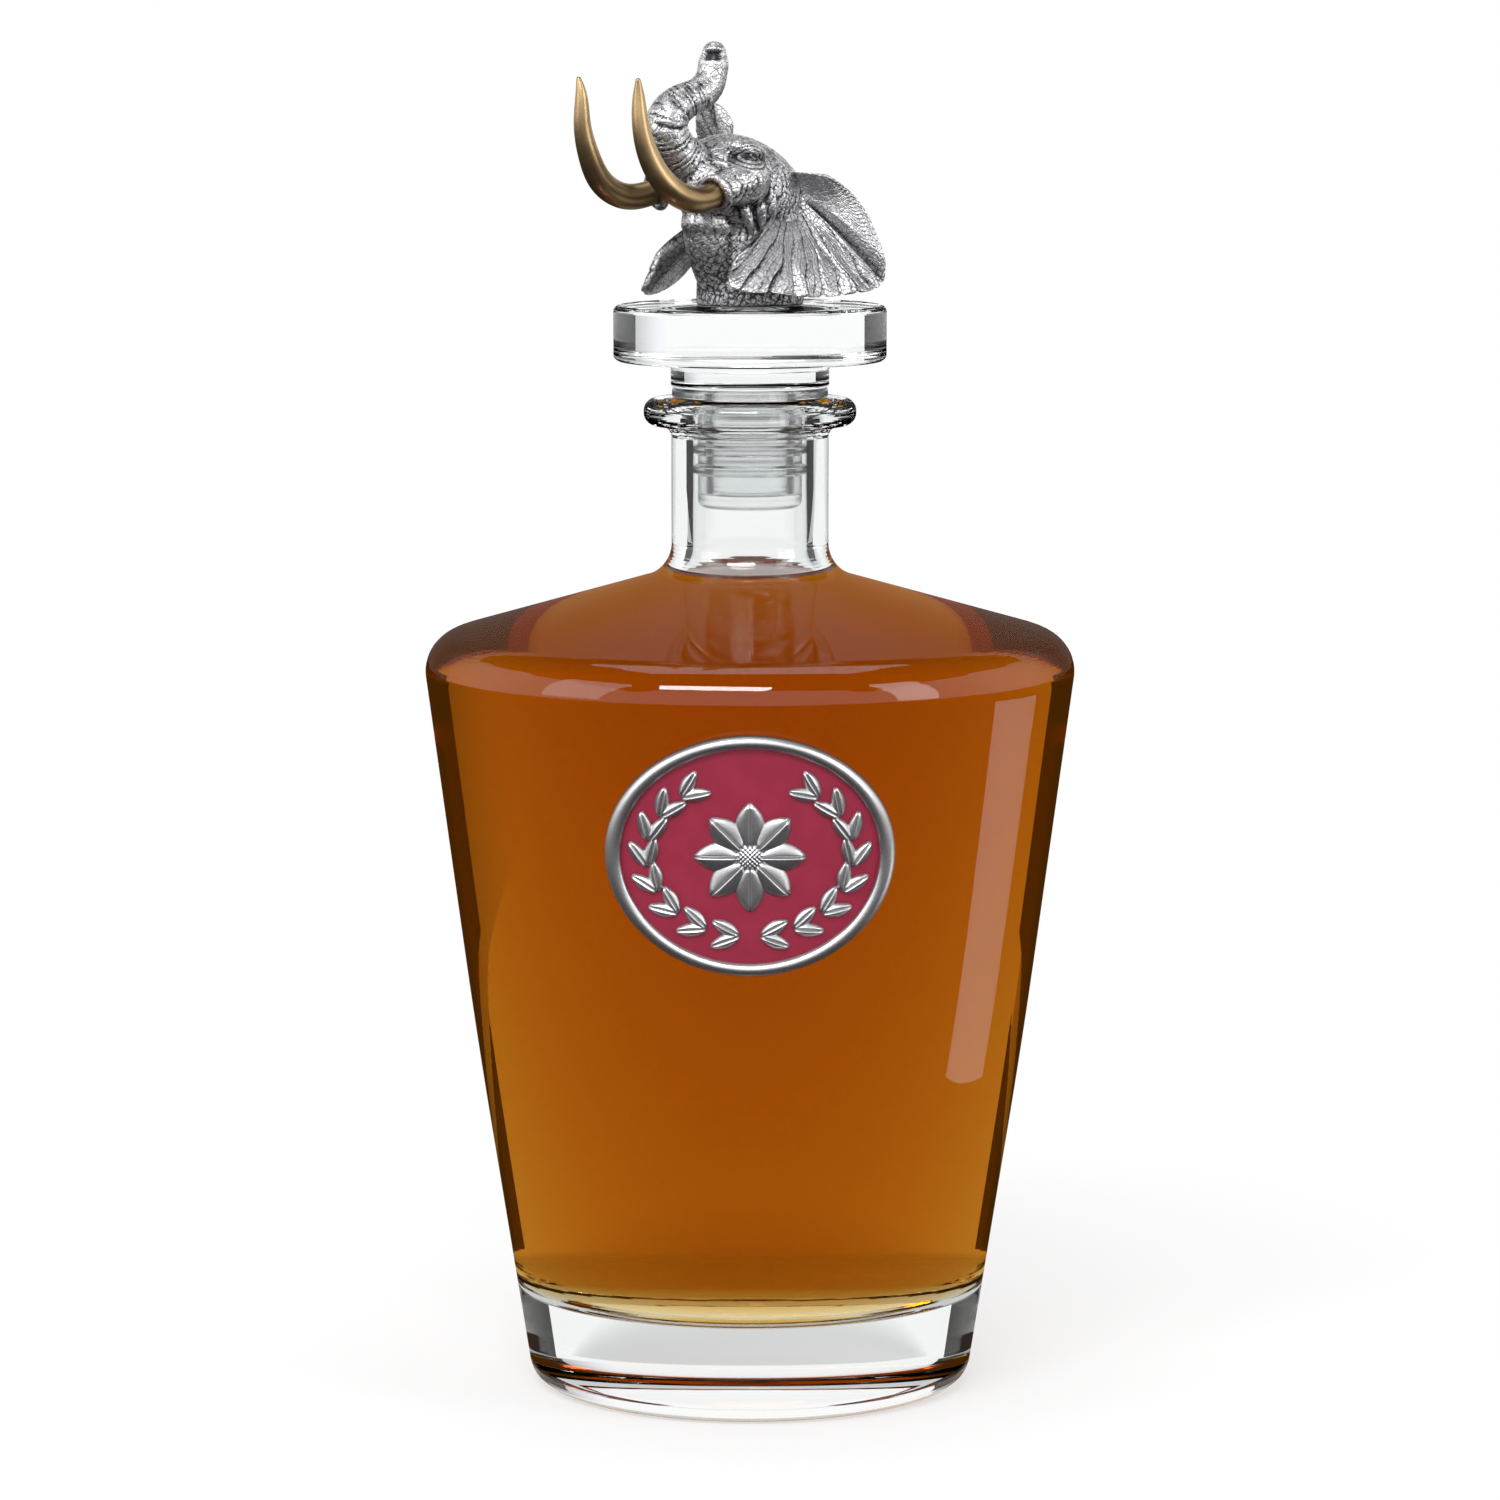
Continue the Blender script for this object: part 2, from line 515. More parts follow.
sleeve_corners = [(0.0, PLUG_END, 0.0), (STEM_RADIUS, PLUG_END, PLUG_ROUND)]
for rib in reversed(range(RIB_COUNT)):
    rib_middle = FIRST_RIB - rib * RIB_PITCH
    rib_slant = (RIB_RADIUS - STEM_RADIUS) / 2
    sleeve_corners += [(STEM_RADIUS, rib_middle - RIB_HEIGHT / 2, RIB_FOOT_ROUND),
                       (RIB_RADIUS, rib_middle - RIB_HEIGHT / 2 + rib_slant, RIB_ROUND),
                       (RIB_RADIUS, rib_middle + RIB_HEIGHT / 2 - rib_slant, RIB_ROUND),
                       (STEM_RADIUS, rib_middle + RIB_HEIGHT / 2, RIB_FOOT_ROUND)]
sleeve_corners += [(STEM_RADIUS, LIP_TOP, 0.2), (FLANGE_RADIUS, LIP_TOP, FLANGE_ROUND),
                   (FLANGE_RADIUS, FLANGE_TOP, FLANGE_ROUND), (HOLE_RADIUS, FLANGE_TOP, 0.15),
                   (HOLE_RADIUS, POST_END, 0.3), (0.0, POST_END, 0.0)]
sleeve_line = refined(rounded_profile(sleeve_corners, SLEEVE_ARC), SLEEVE_STEP)
add_turned("seal_sleeve_moulded", sleeve_line, SLEEVE_SEGMENTS, sleeve_plastic,
           "seal", "seal_plastic", "seal_sleeve")

# %% [markdown]
# The stopper is a thick polished disc on a collar, with a post that stands in the sleeve. It is turned in
# the same way as the bottle, of the same kind of glass.

# %% Stopper
COLLAR_TOP, DISC_TOP = 175.3, 184.7
POST_RADIUS, COLLAR_RADIUS, DISC_RADIUS, FIT = 6.3, 13.4, 23.1, 0.05
POST_ROUND, COLLAR_HOLLOW, DISC_ROUND, STOPPER_STEP = 1.5, 1.6, 1.1, 2.0

stopper_corners = [(0.0, POST_END + FIT, 0.0), (POST_RADIUS, POST_END + FIT, POST_ROUND),
                   (POST_RADIUS, FLANGE_TOP, 0.3), (COLLAR_RADIUS, FLANGE_TOP, 0.5),
                   (COLLAR_RADIUS, COLLAR_TOP, COLLAR_HOLLOW), (DISC_RADIUS, COLLAR_TOP, DISC_ROUND),
                   (DISC_RADIUS, DISC_TOP, DISC_ROUND), (0.0, DISC_TOP, 0.0)]
stopper_line = refined(rounded_profile(stopper_corners), STOPPER_STEP)
add_turned("stopper_disc_clear", stopper_line, SEGMENTS, stopper_clear,
           "stopper", "stopper_glass", "stopper_glass")

# %% [markdown]
# The medallion is an oval plate with a rounded rim, a rosette and a wreath, cast in one and bent to the
# bottle's side. It could be carved from solids, but it is simpler as a height field: every point of the
# oval has a height over the glass, and the highest of rim, petal and leaf wins.

# %% Medallion tools
PLATE_HEIGHT, HALF_WIDTH, HALF_TALL, RIM_WIDTH = 98.2, 23.7, 20.1, 2.3
FILM, PLATE, RIM_RISE, ENAMEL, RELIEF = 0.2, 0.9, 1.5, 0.35, 1.2
RIB_LINE = 0.16
SIDE_SLOPE = (SHOULDER_RADIUS - MIDDLE_RADIUS) / (SHOULDER_HEIGHT - MIDDLE_HEIGHT)


def on_side(across, along, height):
    """Point on the bottle's cone, across and along the plate, at a height over the glass.

    The radius grows with the slope of the side. The point's y is the root of that radius squared less across
    squared, taken to the front.
    """
    z = PLATE_HEIGHT + along
    radius = MIDDLE_RADIUS + SIDE_SLOPE * (z - MIDDLE_HEIGHT) + height * math.hypot(1, SIDE_SLOPE)
    return np.stack([across, -np.sqrt(radius ** 2 - across ** 2), z], -1)


def leaf_height(across, along, root_x, root_y, heading, length, width, rib):
    """Domed pointed leaf: 1 on its middle line, 0 at its outline, with a groove of depth rib along it.

    At a share s of its length the leaf is half as wide as 4 width s (1 - s). The dome is the root of one
    minus the squared share of that half width, and it falls to the tips as the root of 8 s (1 - s).
    """
    turn = math.radians(heading)
    ahead = (across - root_x) * math.cos(turn) + (along - root_y) * math.sin(turn)
    aside = -(across - root_x) * math.sin(turn) + (along - root_y) * math.cos(turn)
    share = ahead / length
    half = np.maximum(0.5 * width * 4 * share * (1 - share), 1e-6)
    inside = (share > 0) & (share < 1) & (np.abs(aside) < half)
    dome = np.sqrt(np.clip(1 - (aside / half) ** 2, 0, 1)) * np.clip(8 * share * (1 - share), 0, 1) ** 0.5
    groove = rib * np.exp(-(aside / RIB_LINE) ** 2)
    return np.where(inside, np.clip(dome - groove, 0, 1), 0.0)


print("side slope under the medallion", round(SIDE_SLOPE, 4))

# %% [markdown]
# The ornament is eight petals round a seeded eye, and two branches of paired leaves that rise from the foot
# of the oval. Each petal and leaf is the same small dome, set at its place and heading.

# %% Medallion ornament
PLATE_RINGS, PLATE_COLUMNS = 150, 540
PETALS, EYE_RADIUS, PETAL_ROOT, PETAL_LENGTH, PETAL_WIDTH, PETAL_RIB = 8, 2.4, 1.2, 8.2, 5.0, 0.35
WREATH_INSET, LEAF_PAIRS, GAP_ANGLE, FOOT_ANGLE = 4.6, 8, 24.0, 5.0
LEAF_LENGTH, LEAF_WIDTH, LEAF_LEAN, LEAF_RIB = 5.6, 2.5, 24.0, 0.45
SEED_PITCH, SEED_RISE, SEED_REACH, EYE_STEP = 0.75, 0.12, 0.8, 0.25

plate_share = np.linspace(0, 1, PLATE_RINGS)[:, None]
plate_angle = round_angles(PLATE_COLUMNS)[None, :]
across = plate_share * HALF_WIDTH * np.cos(plate_angle)
along = plate_share * HALF_TALL * np.sin(plate_angle)
relief = np.zeros_like(across)
for petal in range(PETALS):
    petal_heading = 360.0 * petal / PETALS
    petal_turn = math.radians(petal_heading)
    leaf = leaf_height(across, along, PETAL_ROOT * math.cos(petal_turn), PETAL_ROOT * math.sin(petal_turn),
                       petal_heading, PETAL_LENGTH, PETAL_WIDTH, PETAL_RIB)
    relief = np.maximum(relief, leaf)
wreath_wide = HALF_WIDTH - RIM_WIDTH - WREATH_INSET
wreath_tall = HALF_TALL - RIM_WIDTH - WREATH_INSET
branch_reach = 180 - GAP_ANGLE - FOOT_ANGLE
for side in (1, -1):
    for pair in range(LEAF_PAIRS):
        climb = math.radians(-90 + FOOT_ANGLE + branch_reach * pair / LEAF_PAIRS)
        root_x = side * wreath_wide * math.cos(climb)
        root_y = wreath_tall * math.sin(climb)
        onward = math.atan2(wreath_tall * math.cos(climb), -side * wreath_wide * math.sin(climb))
        for lean in (LEAF_LEAN, -LEAF_LEAN):
            leaf = leaf_height(across, along, root_x, root_y, math.degrees(onward) + lean,
                               LEAF_LENGTH, LEAF_WIDTH, LEAF_RIB)
            relief = np.maximum(relief, leaf)
eye = np.hypot(across, along) / EYE_RADIUS
eye_dome = EYE_STEP + (1 - EYE_STEP) * np.sqrt(np.clip(1 - eye ** 2, 0, 1))
relief = np.where(eye < 1, np.maximum(relief, eye_dome), relief)
seeds = SEED_RISE * np.cos(across * FULL_TURN / SEED_PITCH) * np.cos(along * FULL_TURN / SEED_PITCH)
seeds = seeds * (eye < SEED_REACH)
print("ornament covers", round(float((relief > 0).mean()), 3), "of the oval's grid")

# %% [markdown]
# Front and back of the plate are one grid, which turns over at the rim. The patina stays in the low field
# and at the foot of the rim, so it is read from each point's height over the plate.

# %% Medallion plate
BACK_RINGS, RIM_FULLNESS = 25, 0.8
RIM_PATINA, FIELD_PATINA, FIELD_RUB, FIELD_MOST = 0.9, 1.05, 1.1, 0.9

past_field = (plate_share - (1 - RIM_WIDTH / HALF_TALL)) * HALF_TALL / RIM_WIDTH
rim_share = np.clip(past_field, 0, 1) + 0 * plate_angle
rim_round = np.sqrt(np.clip(1 - (2 * rim_share - 1) ** 2, 0, 1)) ** RIM_FULLNESS
rim = np.where(rim_share > 0, RIM_RISE * rim_round, 0)
front = on_side(across, along, FILM + PLATE + np.maximum(RELIEF * relief + seeds, rim))
back_share = np.linspace(1, 0, BACK_RINGS)[:, None]
back = on_side(back_share * HALF_WIDTH * np.cos(plate_angle),
               back_share * HALF_TALL * np.sin(plate_angle), FILM)
plate_points, quads = join_grids([(np.concatenate([front, back]), True)])
plate_mesh = make_mesh("medallion_relief", plate_points, quads)
x, y, z = mesh_points(plate_mesh).T
lift = np.hypot(x, y) - MIDDLE_RADIUS - SIDE_SLOPE * (z - MIDDLE_HEIGHT)
lift = lift / math.hypot(1, SIDE_SLOPE) - FILM - PLATE
on_rim = np.hypot(x / HALF_WIDTH, (z - PLATE_HEIGHT) / HALF_TALL) > 1 - RIM_WIDTH / HALF_TALL
rim_patina = np.clip(RIM_PATINA - lift / RIM_RISE, 0, 1)
field_patina = np.clip(FIELD_PATINA - FIELD_RUB * lift / RELIEF, 0, FIELD_MOST)
set_patina(plate_mesh, np.where(on_rim, rim_patina, field_patina))
add_piece("medallion_relief", plate_mesh, plate_pewter, "decanter", "pewter", "medallion")

# %% [markdown]
# The enamel is poured into the plate's low field and settles flat round the ornament. A thin oval sheet on
# the same cone does that: the ornament simply stands up through it.

# %% Enamel field
ENAMEL_RINGS, ENAMEL_COLUMNS, ENAMEL_EDGE, ENAMEL_SUNK = 40, 200, 0.6, 0.3

field_share = np.linspace(0, 1 - ENAMEL_EDGE * RIM_WIDTH / HALF_TALL, ENAMEL_RINGS)[:, None]
field_angle = round_angles(ENAMEL_COLUMNS)[None, :]
field_across = field_share * HALF_WIDTH * np.cos(field_angle)
field_along = field_share * HALF_TALL * np.sin(field_angle)
field_top = on_side(field_across, field_along, FILM + PLATE + ENAMEL)
field_under = on_side(field_across[::-1], field_along[::-1], FILM + PLATE - ENAMEL_SUNK)
points, quads = join_grids([(np.concatenate([field_top, field_under]), True)])
add_piece("medallion_enamel_field", make_mesh("medallion_enamel_field", points, quads), crimson_enamel,
          "decanter", "crimson_enamel", "medallion_enamel")

# %% [markdown]
# The elephant is worked out in its own directions, forward, to its left and up, from the middle of the
# disc's top, and turned to face as it stands. Curves run through a few stations as a natural cubic spline,
# which is the line a thin batten takes through pegs.

# %% Elephant frame and curves
FACING = math.radians(38.0)
DIRECTIONS = np.array([[-math.cos(FACING), -math.sin(FACING), 0],
                       [math.sin(FACING), -math.cos(FACING), 0],
                       [0, 0, 1]])
STAND = np.array([0, 0, DISC_TOP])


def standing(points):
    """Points given as forward, left and up, put in the frame of the bottle."""
    return points @ DIRECTIONS + STAND


def to_elephant(points):
    """Points of the bottle's frame as forward, left and up of the elephant."""
    return (points - STAND) @ DIRECTIONS.T


def batten(stations, count):
    """Natural cubic spline through rows of numbers, spaced by the distance between their first three."""
    stations = np.array(stations, float)
    gaps = np.linalg.norm(np.diff(stations[:, :3], axis=0), axis=1)
    knots = np.concatenate([[0], np.cumsum(gaps)])
    size = len(knots)
    system = np.eye(size)
    inner = np.arange(1, size - 1)
    system[inner, inner - 1] = gaps[:-1]
    system[inner, inner] = 2 * (gaps[:-1] + gaps[1:])
    system[inner, inner + 1] = gaps[1:]
    slopes = np.diff(stations, axis=0) / gaps[:, None]
    right = np.zeros_like(stations)
    right[1:-1] = 3 * np.diff(slopes, axis=0)
    curve = np.linalg.solve(system, right)
    at = np.linspace(0, knots[-1], count)
    run = np.clip(np.searchsorted(knots, at, side="right") - 1, 0, size - 2)
    past = (at - knots[run])[:, None]
    gap = gaps[run][:, None]
    rise = slopes[run] - gap * (2 * curve[run] + curve[run + 1]) / 3
    bend = (curve[run + 1] - curve[run]) / (3 * gap)
    return stations[run] + rise * past + curve[run] * past ** 2 + bend * past ** 3


print("elephant faces", DIRECTIONS[0].round(3))

# %% [markdown]
# Two plain forms make up the whole animal, as they do under a sculptor's hands: an egg, which is a sphere
# with three half sizes and a tilt, and a tube, which is a circle carried along a curve.

# %% Egg and tube
CAP_POINTS = 8


def egg(place, halves, pitch, rows=40, columns=56):
    """Ellipsoid of half sizes a forward, b left and c up, its nose raised by pitch degrees.

    Forward is a sin v, left is b cos v cos w and up is c cos v sin w. The pitch then turns forward to up.
    """
    v = np.linspace(-math.pi / 2, math.pi / 2, rows)[:, None]
    w = round_angles(columns)[None, :]
    ahead = halves[0] * np.sin(v) + 0 * w
    aside = halves[1] * np.cos(v) * np.cos(w)
    above = halves[2] * np.cos(v) * np.sin(w)
    tilt = math.radians(pitch)
    tilted_ahead = ahead * math.cos(tilt) - above * math.sin(tilt)
    tilted_above = ahead * math.sin(tilt) + above * math.cos(tilt)
    return np.stack([place[0] + tilted_ahead, place[1] + aside, place[2] + tilted_above], -1)


def tube(path, radius, segments=48):
    """Round tube: a circle carried along a path, square to it, closed by domes at both ends."""
    along = np.gradient(path, axis=0)
    along /= np.linalg.norm(along, axis=1, keepdims=True)
    cap = np.linspace(math.pi / 2, 0, CAP_POINTS)[:-1]
    path = np.concatenate([path[0] - along[0] * radius[0] * np.sin(cap)[:, None], path,
                           path[-1] + along[-1] * radius[-1] * np.sin(cap[::-1])[:, None]])
    radius = np.concatenate([radius[0] * np.cos(cap), radius, radius[-1] * np.cos(cap[::-1])])
    along = np.concatenate([np.repeat(along[:1], len(cap), 0), along, np.repeat(along[-1:], len(cap), 0)])
    aside = np.array([0.0, 1.0, 0.0]) - along * along[:, 1:2]
    aside /= np.linalg.norm(aside, axis=1, keepdims=True)
    above = np.cross(along, aside)
    angle = round_angles(segments)[None, :, None]
    ring = np.cos(angle) * aside[:, None, :] + np.sin(angle) * above[:, None, :]
    return path[:, None, :] + radius[:, None, None] * ring


print("an egg has", egg((0, 0, 0), (1, 1, 1), 0).shape[:2], "points")

# %% [markdown]
# The tusks come first, because the lips that hold them follow their line. Each is a round horn that leaves
# the lip level, bends up and thins to a blunt tip. A station is forward, left, up and radius.

# %% Tusks
TUSK = [(13.4, 8.2, 19.3, 2.1), (18.8, 9.0, 18.4, 2.2), (24.4, 9.0, 20.9, 2.1), (27.4, 8.4, 25.2, 1.85),
        (29.1, 8.1, 30.8, 1.45), (29.5, 8.0, 36.6, 0.8), (29.7, 8.2, 38.1, 0.45)]
TUSK_POINTS, PEG_POINTS, PEG_LENGTH, PEG_GAP = 160, 12, 3.5, 0.1
ROOT_PATINA, TUSK_RUB, TUSK_STREAK, TUSK_MOST = 0.55, 0.05, 0.1, 0.6

tusk_line = batten(TUSK, TUSK_POINTS)
tusk_root = tusk_line[0, :3]
root_way = (tusk_line[1] - tusk_line[0])[:3] / np.linalg.norm((tusk_line[1] - tusk_line[0])[:3])
peg = tusk_root - root_way * np.linspace(PEG_LENGTH, PEG_GAP, PEG_POINTS)[:, None]
tusk_path = np.concatenate([peg, tusk_line[:, :3]])
tusk_radius = np.concatenate([np.full(PEG_POINTS, TUSK[0][3]), tusk_line[:, 3]])
for side, label in ((1, "left"), (-1, "right")):
    horn = tube(tusk_path, tusk_radius) * np.array([1, side, 1])
    points, quads = join_grids([(standing(horn), True)])
    horn_mesh = make_mesh("tusk_" + label + "_bronze", points, quads)
    forward, _, up = to_elephant(mesh_points(horn_mesh)).T
    rub = ROOT_PATINA - TUSK_RUB * (forward - TUSK[0][0]) + TUSK_STREAK * np.sin(up)
    set_patina(horn_mesh, np.clip(rub, 0.0, TUSK_MOST))
    add_piece("tusk_" + label + "_bronze", horn_mesh, satin_bronze, "stopper", "bronze", "tusk_" + label)

# %% [markdown]
# Head and trunk are built as a sculptor blocks out clay. Eggs make the skull, nape, muzzle, jaw and brow,
# and tubes make the trunk and the throat. An egg is its place, its half sizes and its pitch.

# %% Head and trunk blocked out
TRUNK = [(10.0, 0, 21.0, 4.3), (13.4, 0, 23.9, 4.4), (16.7, 0, 27.3, 3.8), (17.5, 0, 31.2, 3.6),
         (14.8, 0, 34.0, 3.2), (10.9, 0, 35.5, 2.9), (8.8, 0, 37.2, 2.75), (8.0, 0, 39.2, 2.6),
         (7.7, 0, 41.2, 2.5), (7.6, 0, 42.27, 2.1)]
HEAD_EGGS = [((1.4, 0, 18.7), (12.8, 9.3, 9.0), 32), ((-2.2, 0, 14.2), (8.6, 8.6, 9.0), 0),
             ((10.2, 0, 20.6), (6.0, 7.6, 5.4), 30), ((6.6, 0, 13.6), (7.2, 5.0, 3.9), 6),
             ((8.0, 0, 22.6), (6.0, 5.6, 4.2), 22)]
THROAT = [(9.5, 0, 15.0, 4.0), (8.2, 0, 10.5, 4.4), (6.0, 0, 5.8, 4.6)]
NECK_LONG, NECK_WIDE, NECK_SEGMENTS = 9.6, 8.3, 72
NECK_RISE = [0.15, 0.15, 0.6, 4.0, 8.0, 12.0, 17.0, 17.0]
NECK_SCALE = [0.0, 0.985, 1.0, 0.985, 0.965, 0.95, 0.93, 0.0]
TRUNK_POINTS, THROAT_POINTS = 220, 40

trunk_line = batten(TRUNK, TRUNK_POINTS)
throat_line = batten(THROAT, THROAT_POINTS)
neck_turn = round_angles(NECK_SEGMENTS)[None, :]
neck_rise, neck_scale = np.array(NECK_RISE)[:, None], np.array(NECK_SCALE)[:, None]
neck = np.stack([NECK_LONG * neck_scale * np.cos(neck_turn), NECK_WIDE * neck_scale * np.sin(neck_turn),
                 neck_rise + 0 * neck_turn], -1)
lumps = [(egg(*shape), True) for shape in HEAD_EGGS]
lumps += [(tube(trunk_line[:, :3], trunk_line[:, 3]), True), (neck, True),
          (tube(throat_line[:, :3], throat_line[:, 3]), True)]
print("head blocked out in", len(lumps), "lumps")

# %% [markdown]
# Each half of the face gets a sheath with a rolled lip round the tusk, a brow, an eye between two lids, and
# the folds that hang from the cheek. They are worked out once, and the other side is their mirror image. A
# Mirror modifier could do that too, but the two sides have to melt into one skin.

# %% Face
EYE = np.array([6.6, 8.0, 24.9])
EYEBALL, BROW = (0.95, 0.9, 0.9), ((6.0, 7.0, 26.4), (3.8, 1.9, 1.6), 12)
# Each lid's rise over the eye, its half length and its thickness.
LIDS = [(0.95, 1.6, 0.40), (-0.75, 1.4, 0.32)]
LID_POINTS, LID_SUNK, LID_WRAP, LID_SLANT = 24, -0.25, 0.9, 0.25
SHEATH_FROM, SHEATH_TO, SHEATH_WIDE, SHEATH_THIN, SHEATH_POINTS = 7.0, 2.7, 4.4, 3.0, 16
ROLL_RADIUS, ROLL_THICK, ROLL_AHEAD, ROLL_POINTS = 2.75, 0.78, 0.2, 48
CHEEK_FOLDS = [((8.2, 6.6, 20.5), (6.8, 7.9, 15.5), (5.0, 7.4, 11.5)),
               ((5.4, 8.2, 21.0), (4.4, 8.6, 16.5), (3.4, 7.9, 12.0)),
               ((2.6, 8.9, 20.5), (2.2, 8.9, 17.0), (1.8, 8.2, 13.5)),
               ((12.0, 5.6, 24.5), (9.5, 7.2, 23.2), (8.0, 7.8, 20.6))]
FOLD_POINTS, FOLD_THICK, FOLD_FROM, FOLD_TO = 24, 0.95, 0.25, 2.9

sheath_path = tusk_root - root_way * np.linspace(SHEATH_FROM, SHEATH_TO, SHEATH_POINTS)[:, None]
roll_turn = np.linspace(0, FULL_TURN, ROLL_POINTS)
roll_aside = np.cross(root_way, [0, 0, 1])
roll_aside /= np.linalg.norm(roll_aside)
roll_above = np.cross(roll_aside, root_way)
roll_ring = np.cos(roll_turn)[:, None] * roll_aside + np.sin(roll_turn)[:, None] * roll_above
roll_path = tusk_root + root_way * ROLL_AHEAD + ROLL_RADIUS * roll_ring
half_face = [tube(sheath_path, np.linspace(SHEATH_WIDE, SHEATH_THIN, SHEATH_POINTS)),
             tube(roll_path, np.full(ROLL_POINTS, ROLL_THICK), 20),
             egg(*BROW), egg(EYE, EYEBALL, 0, 16, 20)]
lid = np.linspace(-1, 1, LID_POINTS)
for lid_rise, lid_reach, lid_thick in LIDS:
    lid_path = np.stack([lid_reach * lid, LID_SUNK - LID_WRAP * lid ** 2,
                         lid_rise * (1 - lid ** 2) + LID_SLANT * lid], -1)
    half_face.append(tube(EYE + lid_path, np.full(LID_POINTS, lid_thick), 16))
fold_swell = np.sin(np.linspace(FOLD_FROM, FOLD_TO, FOLD_POINTS)) * FOLD_THICK
half_face += [tube(batten(fold, FOLD_POINTS), fold_swell, 20) for fold in CHEEK_FOLDS]
for side in (1, -1):
    lumps += [(form * np.array([1, side, 1]), True) for form in half_face]
print("with the face", len(lumps), "lumps")

# %% [markdown]
# A voxel remesh melts the lumps into one skin, and a smoothing pass takes out the seams between them, which
# no single formula would give.

# %% One skin
VOXEL, SMOOTHING, SMOOTH_SHARE = 0.26, 6, 0.5

points, quads = join_grids(lumps)
clay = bpy.data.objects.new("clay", make_mesh("clay", standing(points), quads))
scene.collection.objects.link(clay)
melt = clay.modifiers.new("melt", "REMESH")
melt.mode, melt.voxel_size = "VOXEL", VOXEL * MM
soften = clay.modifiers.new("soften", "SMOOTH")
soften.iterations, soften.factor = SMOOTHING, SMOOTH_SHARE
skin_mesh = bpy.data.meshes.new_from_object(clay.evaluated_get(bpy.context.evaluated_depsgraph_get()))
bpy.data.objects.remove(clay)
print("melted skin", len(skin_mesh.vertices), "points")

# %% [markdown]
# Now the skin gets its creases. Each kind is a depth worked out for all points at once. These tools give a
# net of cells like dried mud, a smooth step, the normals, and the mean place of each point's surroundings.

# %% Skin tools
DICE = 32


def cell_edges(points, size, seed):
    """How much farther the second nearest seed is than the nearest, with one seed in each cube of a size.

    The difference is nothing on the edge between two cells and grows towards their seeds.
    """
    dice = np.random.default_rng(seed).random((DICE, DICE, DICE, 3))
    cube = np.floor(points / size).astype(int)
    nearest = np.full(len(points), 9.0)
    second = np.full(len(points), 9.0)
    for step in np.stack(np.meshgrid(*[[-1, 0, 1]] * 3, indexing="ij"), -1).reshape(-1, 3):
        other = cube + step
        seat = other + dice[other[:, 0] % DICE, other[:, 1] % DICE, other[:, 2] % DICE]
        gap = np.linalg.norm(points / size - seat, axis=1)
        second = np.minimum(second, np.maximum(nearest, gap))
        nearest = np.minimum(nearest, gap)
    return second - nearest


def surroundings(mesh, points, rounds):
    """Mean place of the points joined to each point by an edge, taken over and over for some rounds."""
    ends = np.zeros(len(mesh.edges) * 2, int)
    mesh.edges.foreach_get("vertices", ends)
    first, last = ends.reshape(-1, 2).T
    count = np.bincount(first, minlength=len(points)) + np.bincount(last, minlength=len(points))
    mean = points.copy()
    for _ in range(rounds):
        total = np.stack([np.bincount(first, mean[last, axis], len(points)) +
                          np.bincount(last, mean[first, axis], len(points)) for axis in range(3)], -1)
        mean = total / count[:, None]
    return mean


def normals_of(mesh):
    """The mesh's point normals as an array."""
    values = np.zeros(len(mesh.vertices) * 3, np.float32)
    mesh.vertex_normals.foreach_get("vector", values)
    return values.reshape(-1, 3).astype(float)


def smooth_between(values, low, high):
    """0 below low, 1 above high, and the smooth step 3 s s - 2 s s s between."""
    share = np.clip((values - low) / (high - low), 0, 1)
    return share * share * (3 - 2 * share)


def ridges(phase, sharpness):
    """Waves that peak at each full turn of the phase: half of one plus its cosine, to a power."""
    return (0.5 + 0.5 * np.cos(phase)) ** sharpness


body = to_elephant(mesh_points(skin_mesh))
mirrored = body.copy()
mirrored[:, 1] = np.abs(body[:, 1])
print("skin reaches", body.min(0).round(1), body.max(0).round(1))

# %% [markdown]
# Rings go round the trunk, so each point first learns which station of the trunk's line is nearest to it
# and how far along the trunk that lies. The loop runs over the line's stations, never over the skin's points.

# %% Along the trunk
TRUNK_ZONE, RINGS_BEGIN, RINGS_END = (1.08, 1.35), (3.0, 7.0), (9.0, 6.5)

near_trunk = np.full(len(body), 99.0)
ring_place = np.zeros(len(body))
lengths = np.concatenate([[0], np.cumsum(np.linalg.norm(np.diff(trunk_line[:, :3], axis=0), axis=1))])
for index in range(len(trunk_line)):
    station_gap = np.linalg.norm(body - trunk_line[index, :3], axis=1) / trunk_line[index, 3]
    closer = station_gap < near_trunk
    near_trunk = np.where(closer, station_gap, near_trunk)
    ring_place = np.where(closer, lengths[index], ring_place)
on_trunk = (1 - smooth_between(near_trunk, *TRUNK_ZONE)) * smooth_between(ring_place, *RINGS_BEGIN)
calm_tip = 1 - smooth_between(ring_place, lengths[-1] - RINGS_END[0], lengths[-1] - RINGS_END[1])
print("trunk length", round(lengths[-1], 1), "mm")

# %% [markdown]
# A living skin never repeats. So the cells over the whole skin, the rings round the trunk and the long folds
# down the cheek are bent by a few slow waves before they are drawn. The waves' lengths are chosen by eye,
# most of them 2 to 9 mm. The rings round the eye keep an even spacing.

# %% Creases
CELL_MM, CELL_LINE, BIG_CELL_MM, BIG_CELL_LINE, BIG_CELL_SHARE = 1.5, 0.09, 2.6, 0.06, 0.7
RING_MM, EYE_RING_MM, FIRST_EYE_RING, FOLD_MM = 1.02, 0.85, 1.35, 1.45
EYE_ZONE_IN, EYE_ZONE_OUT, CHEEK_SIDE, CHEEK_TOP = (1.1, 1.6), (3.0, 4.6), (4.0, 6.5), (20.0, 23.5)

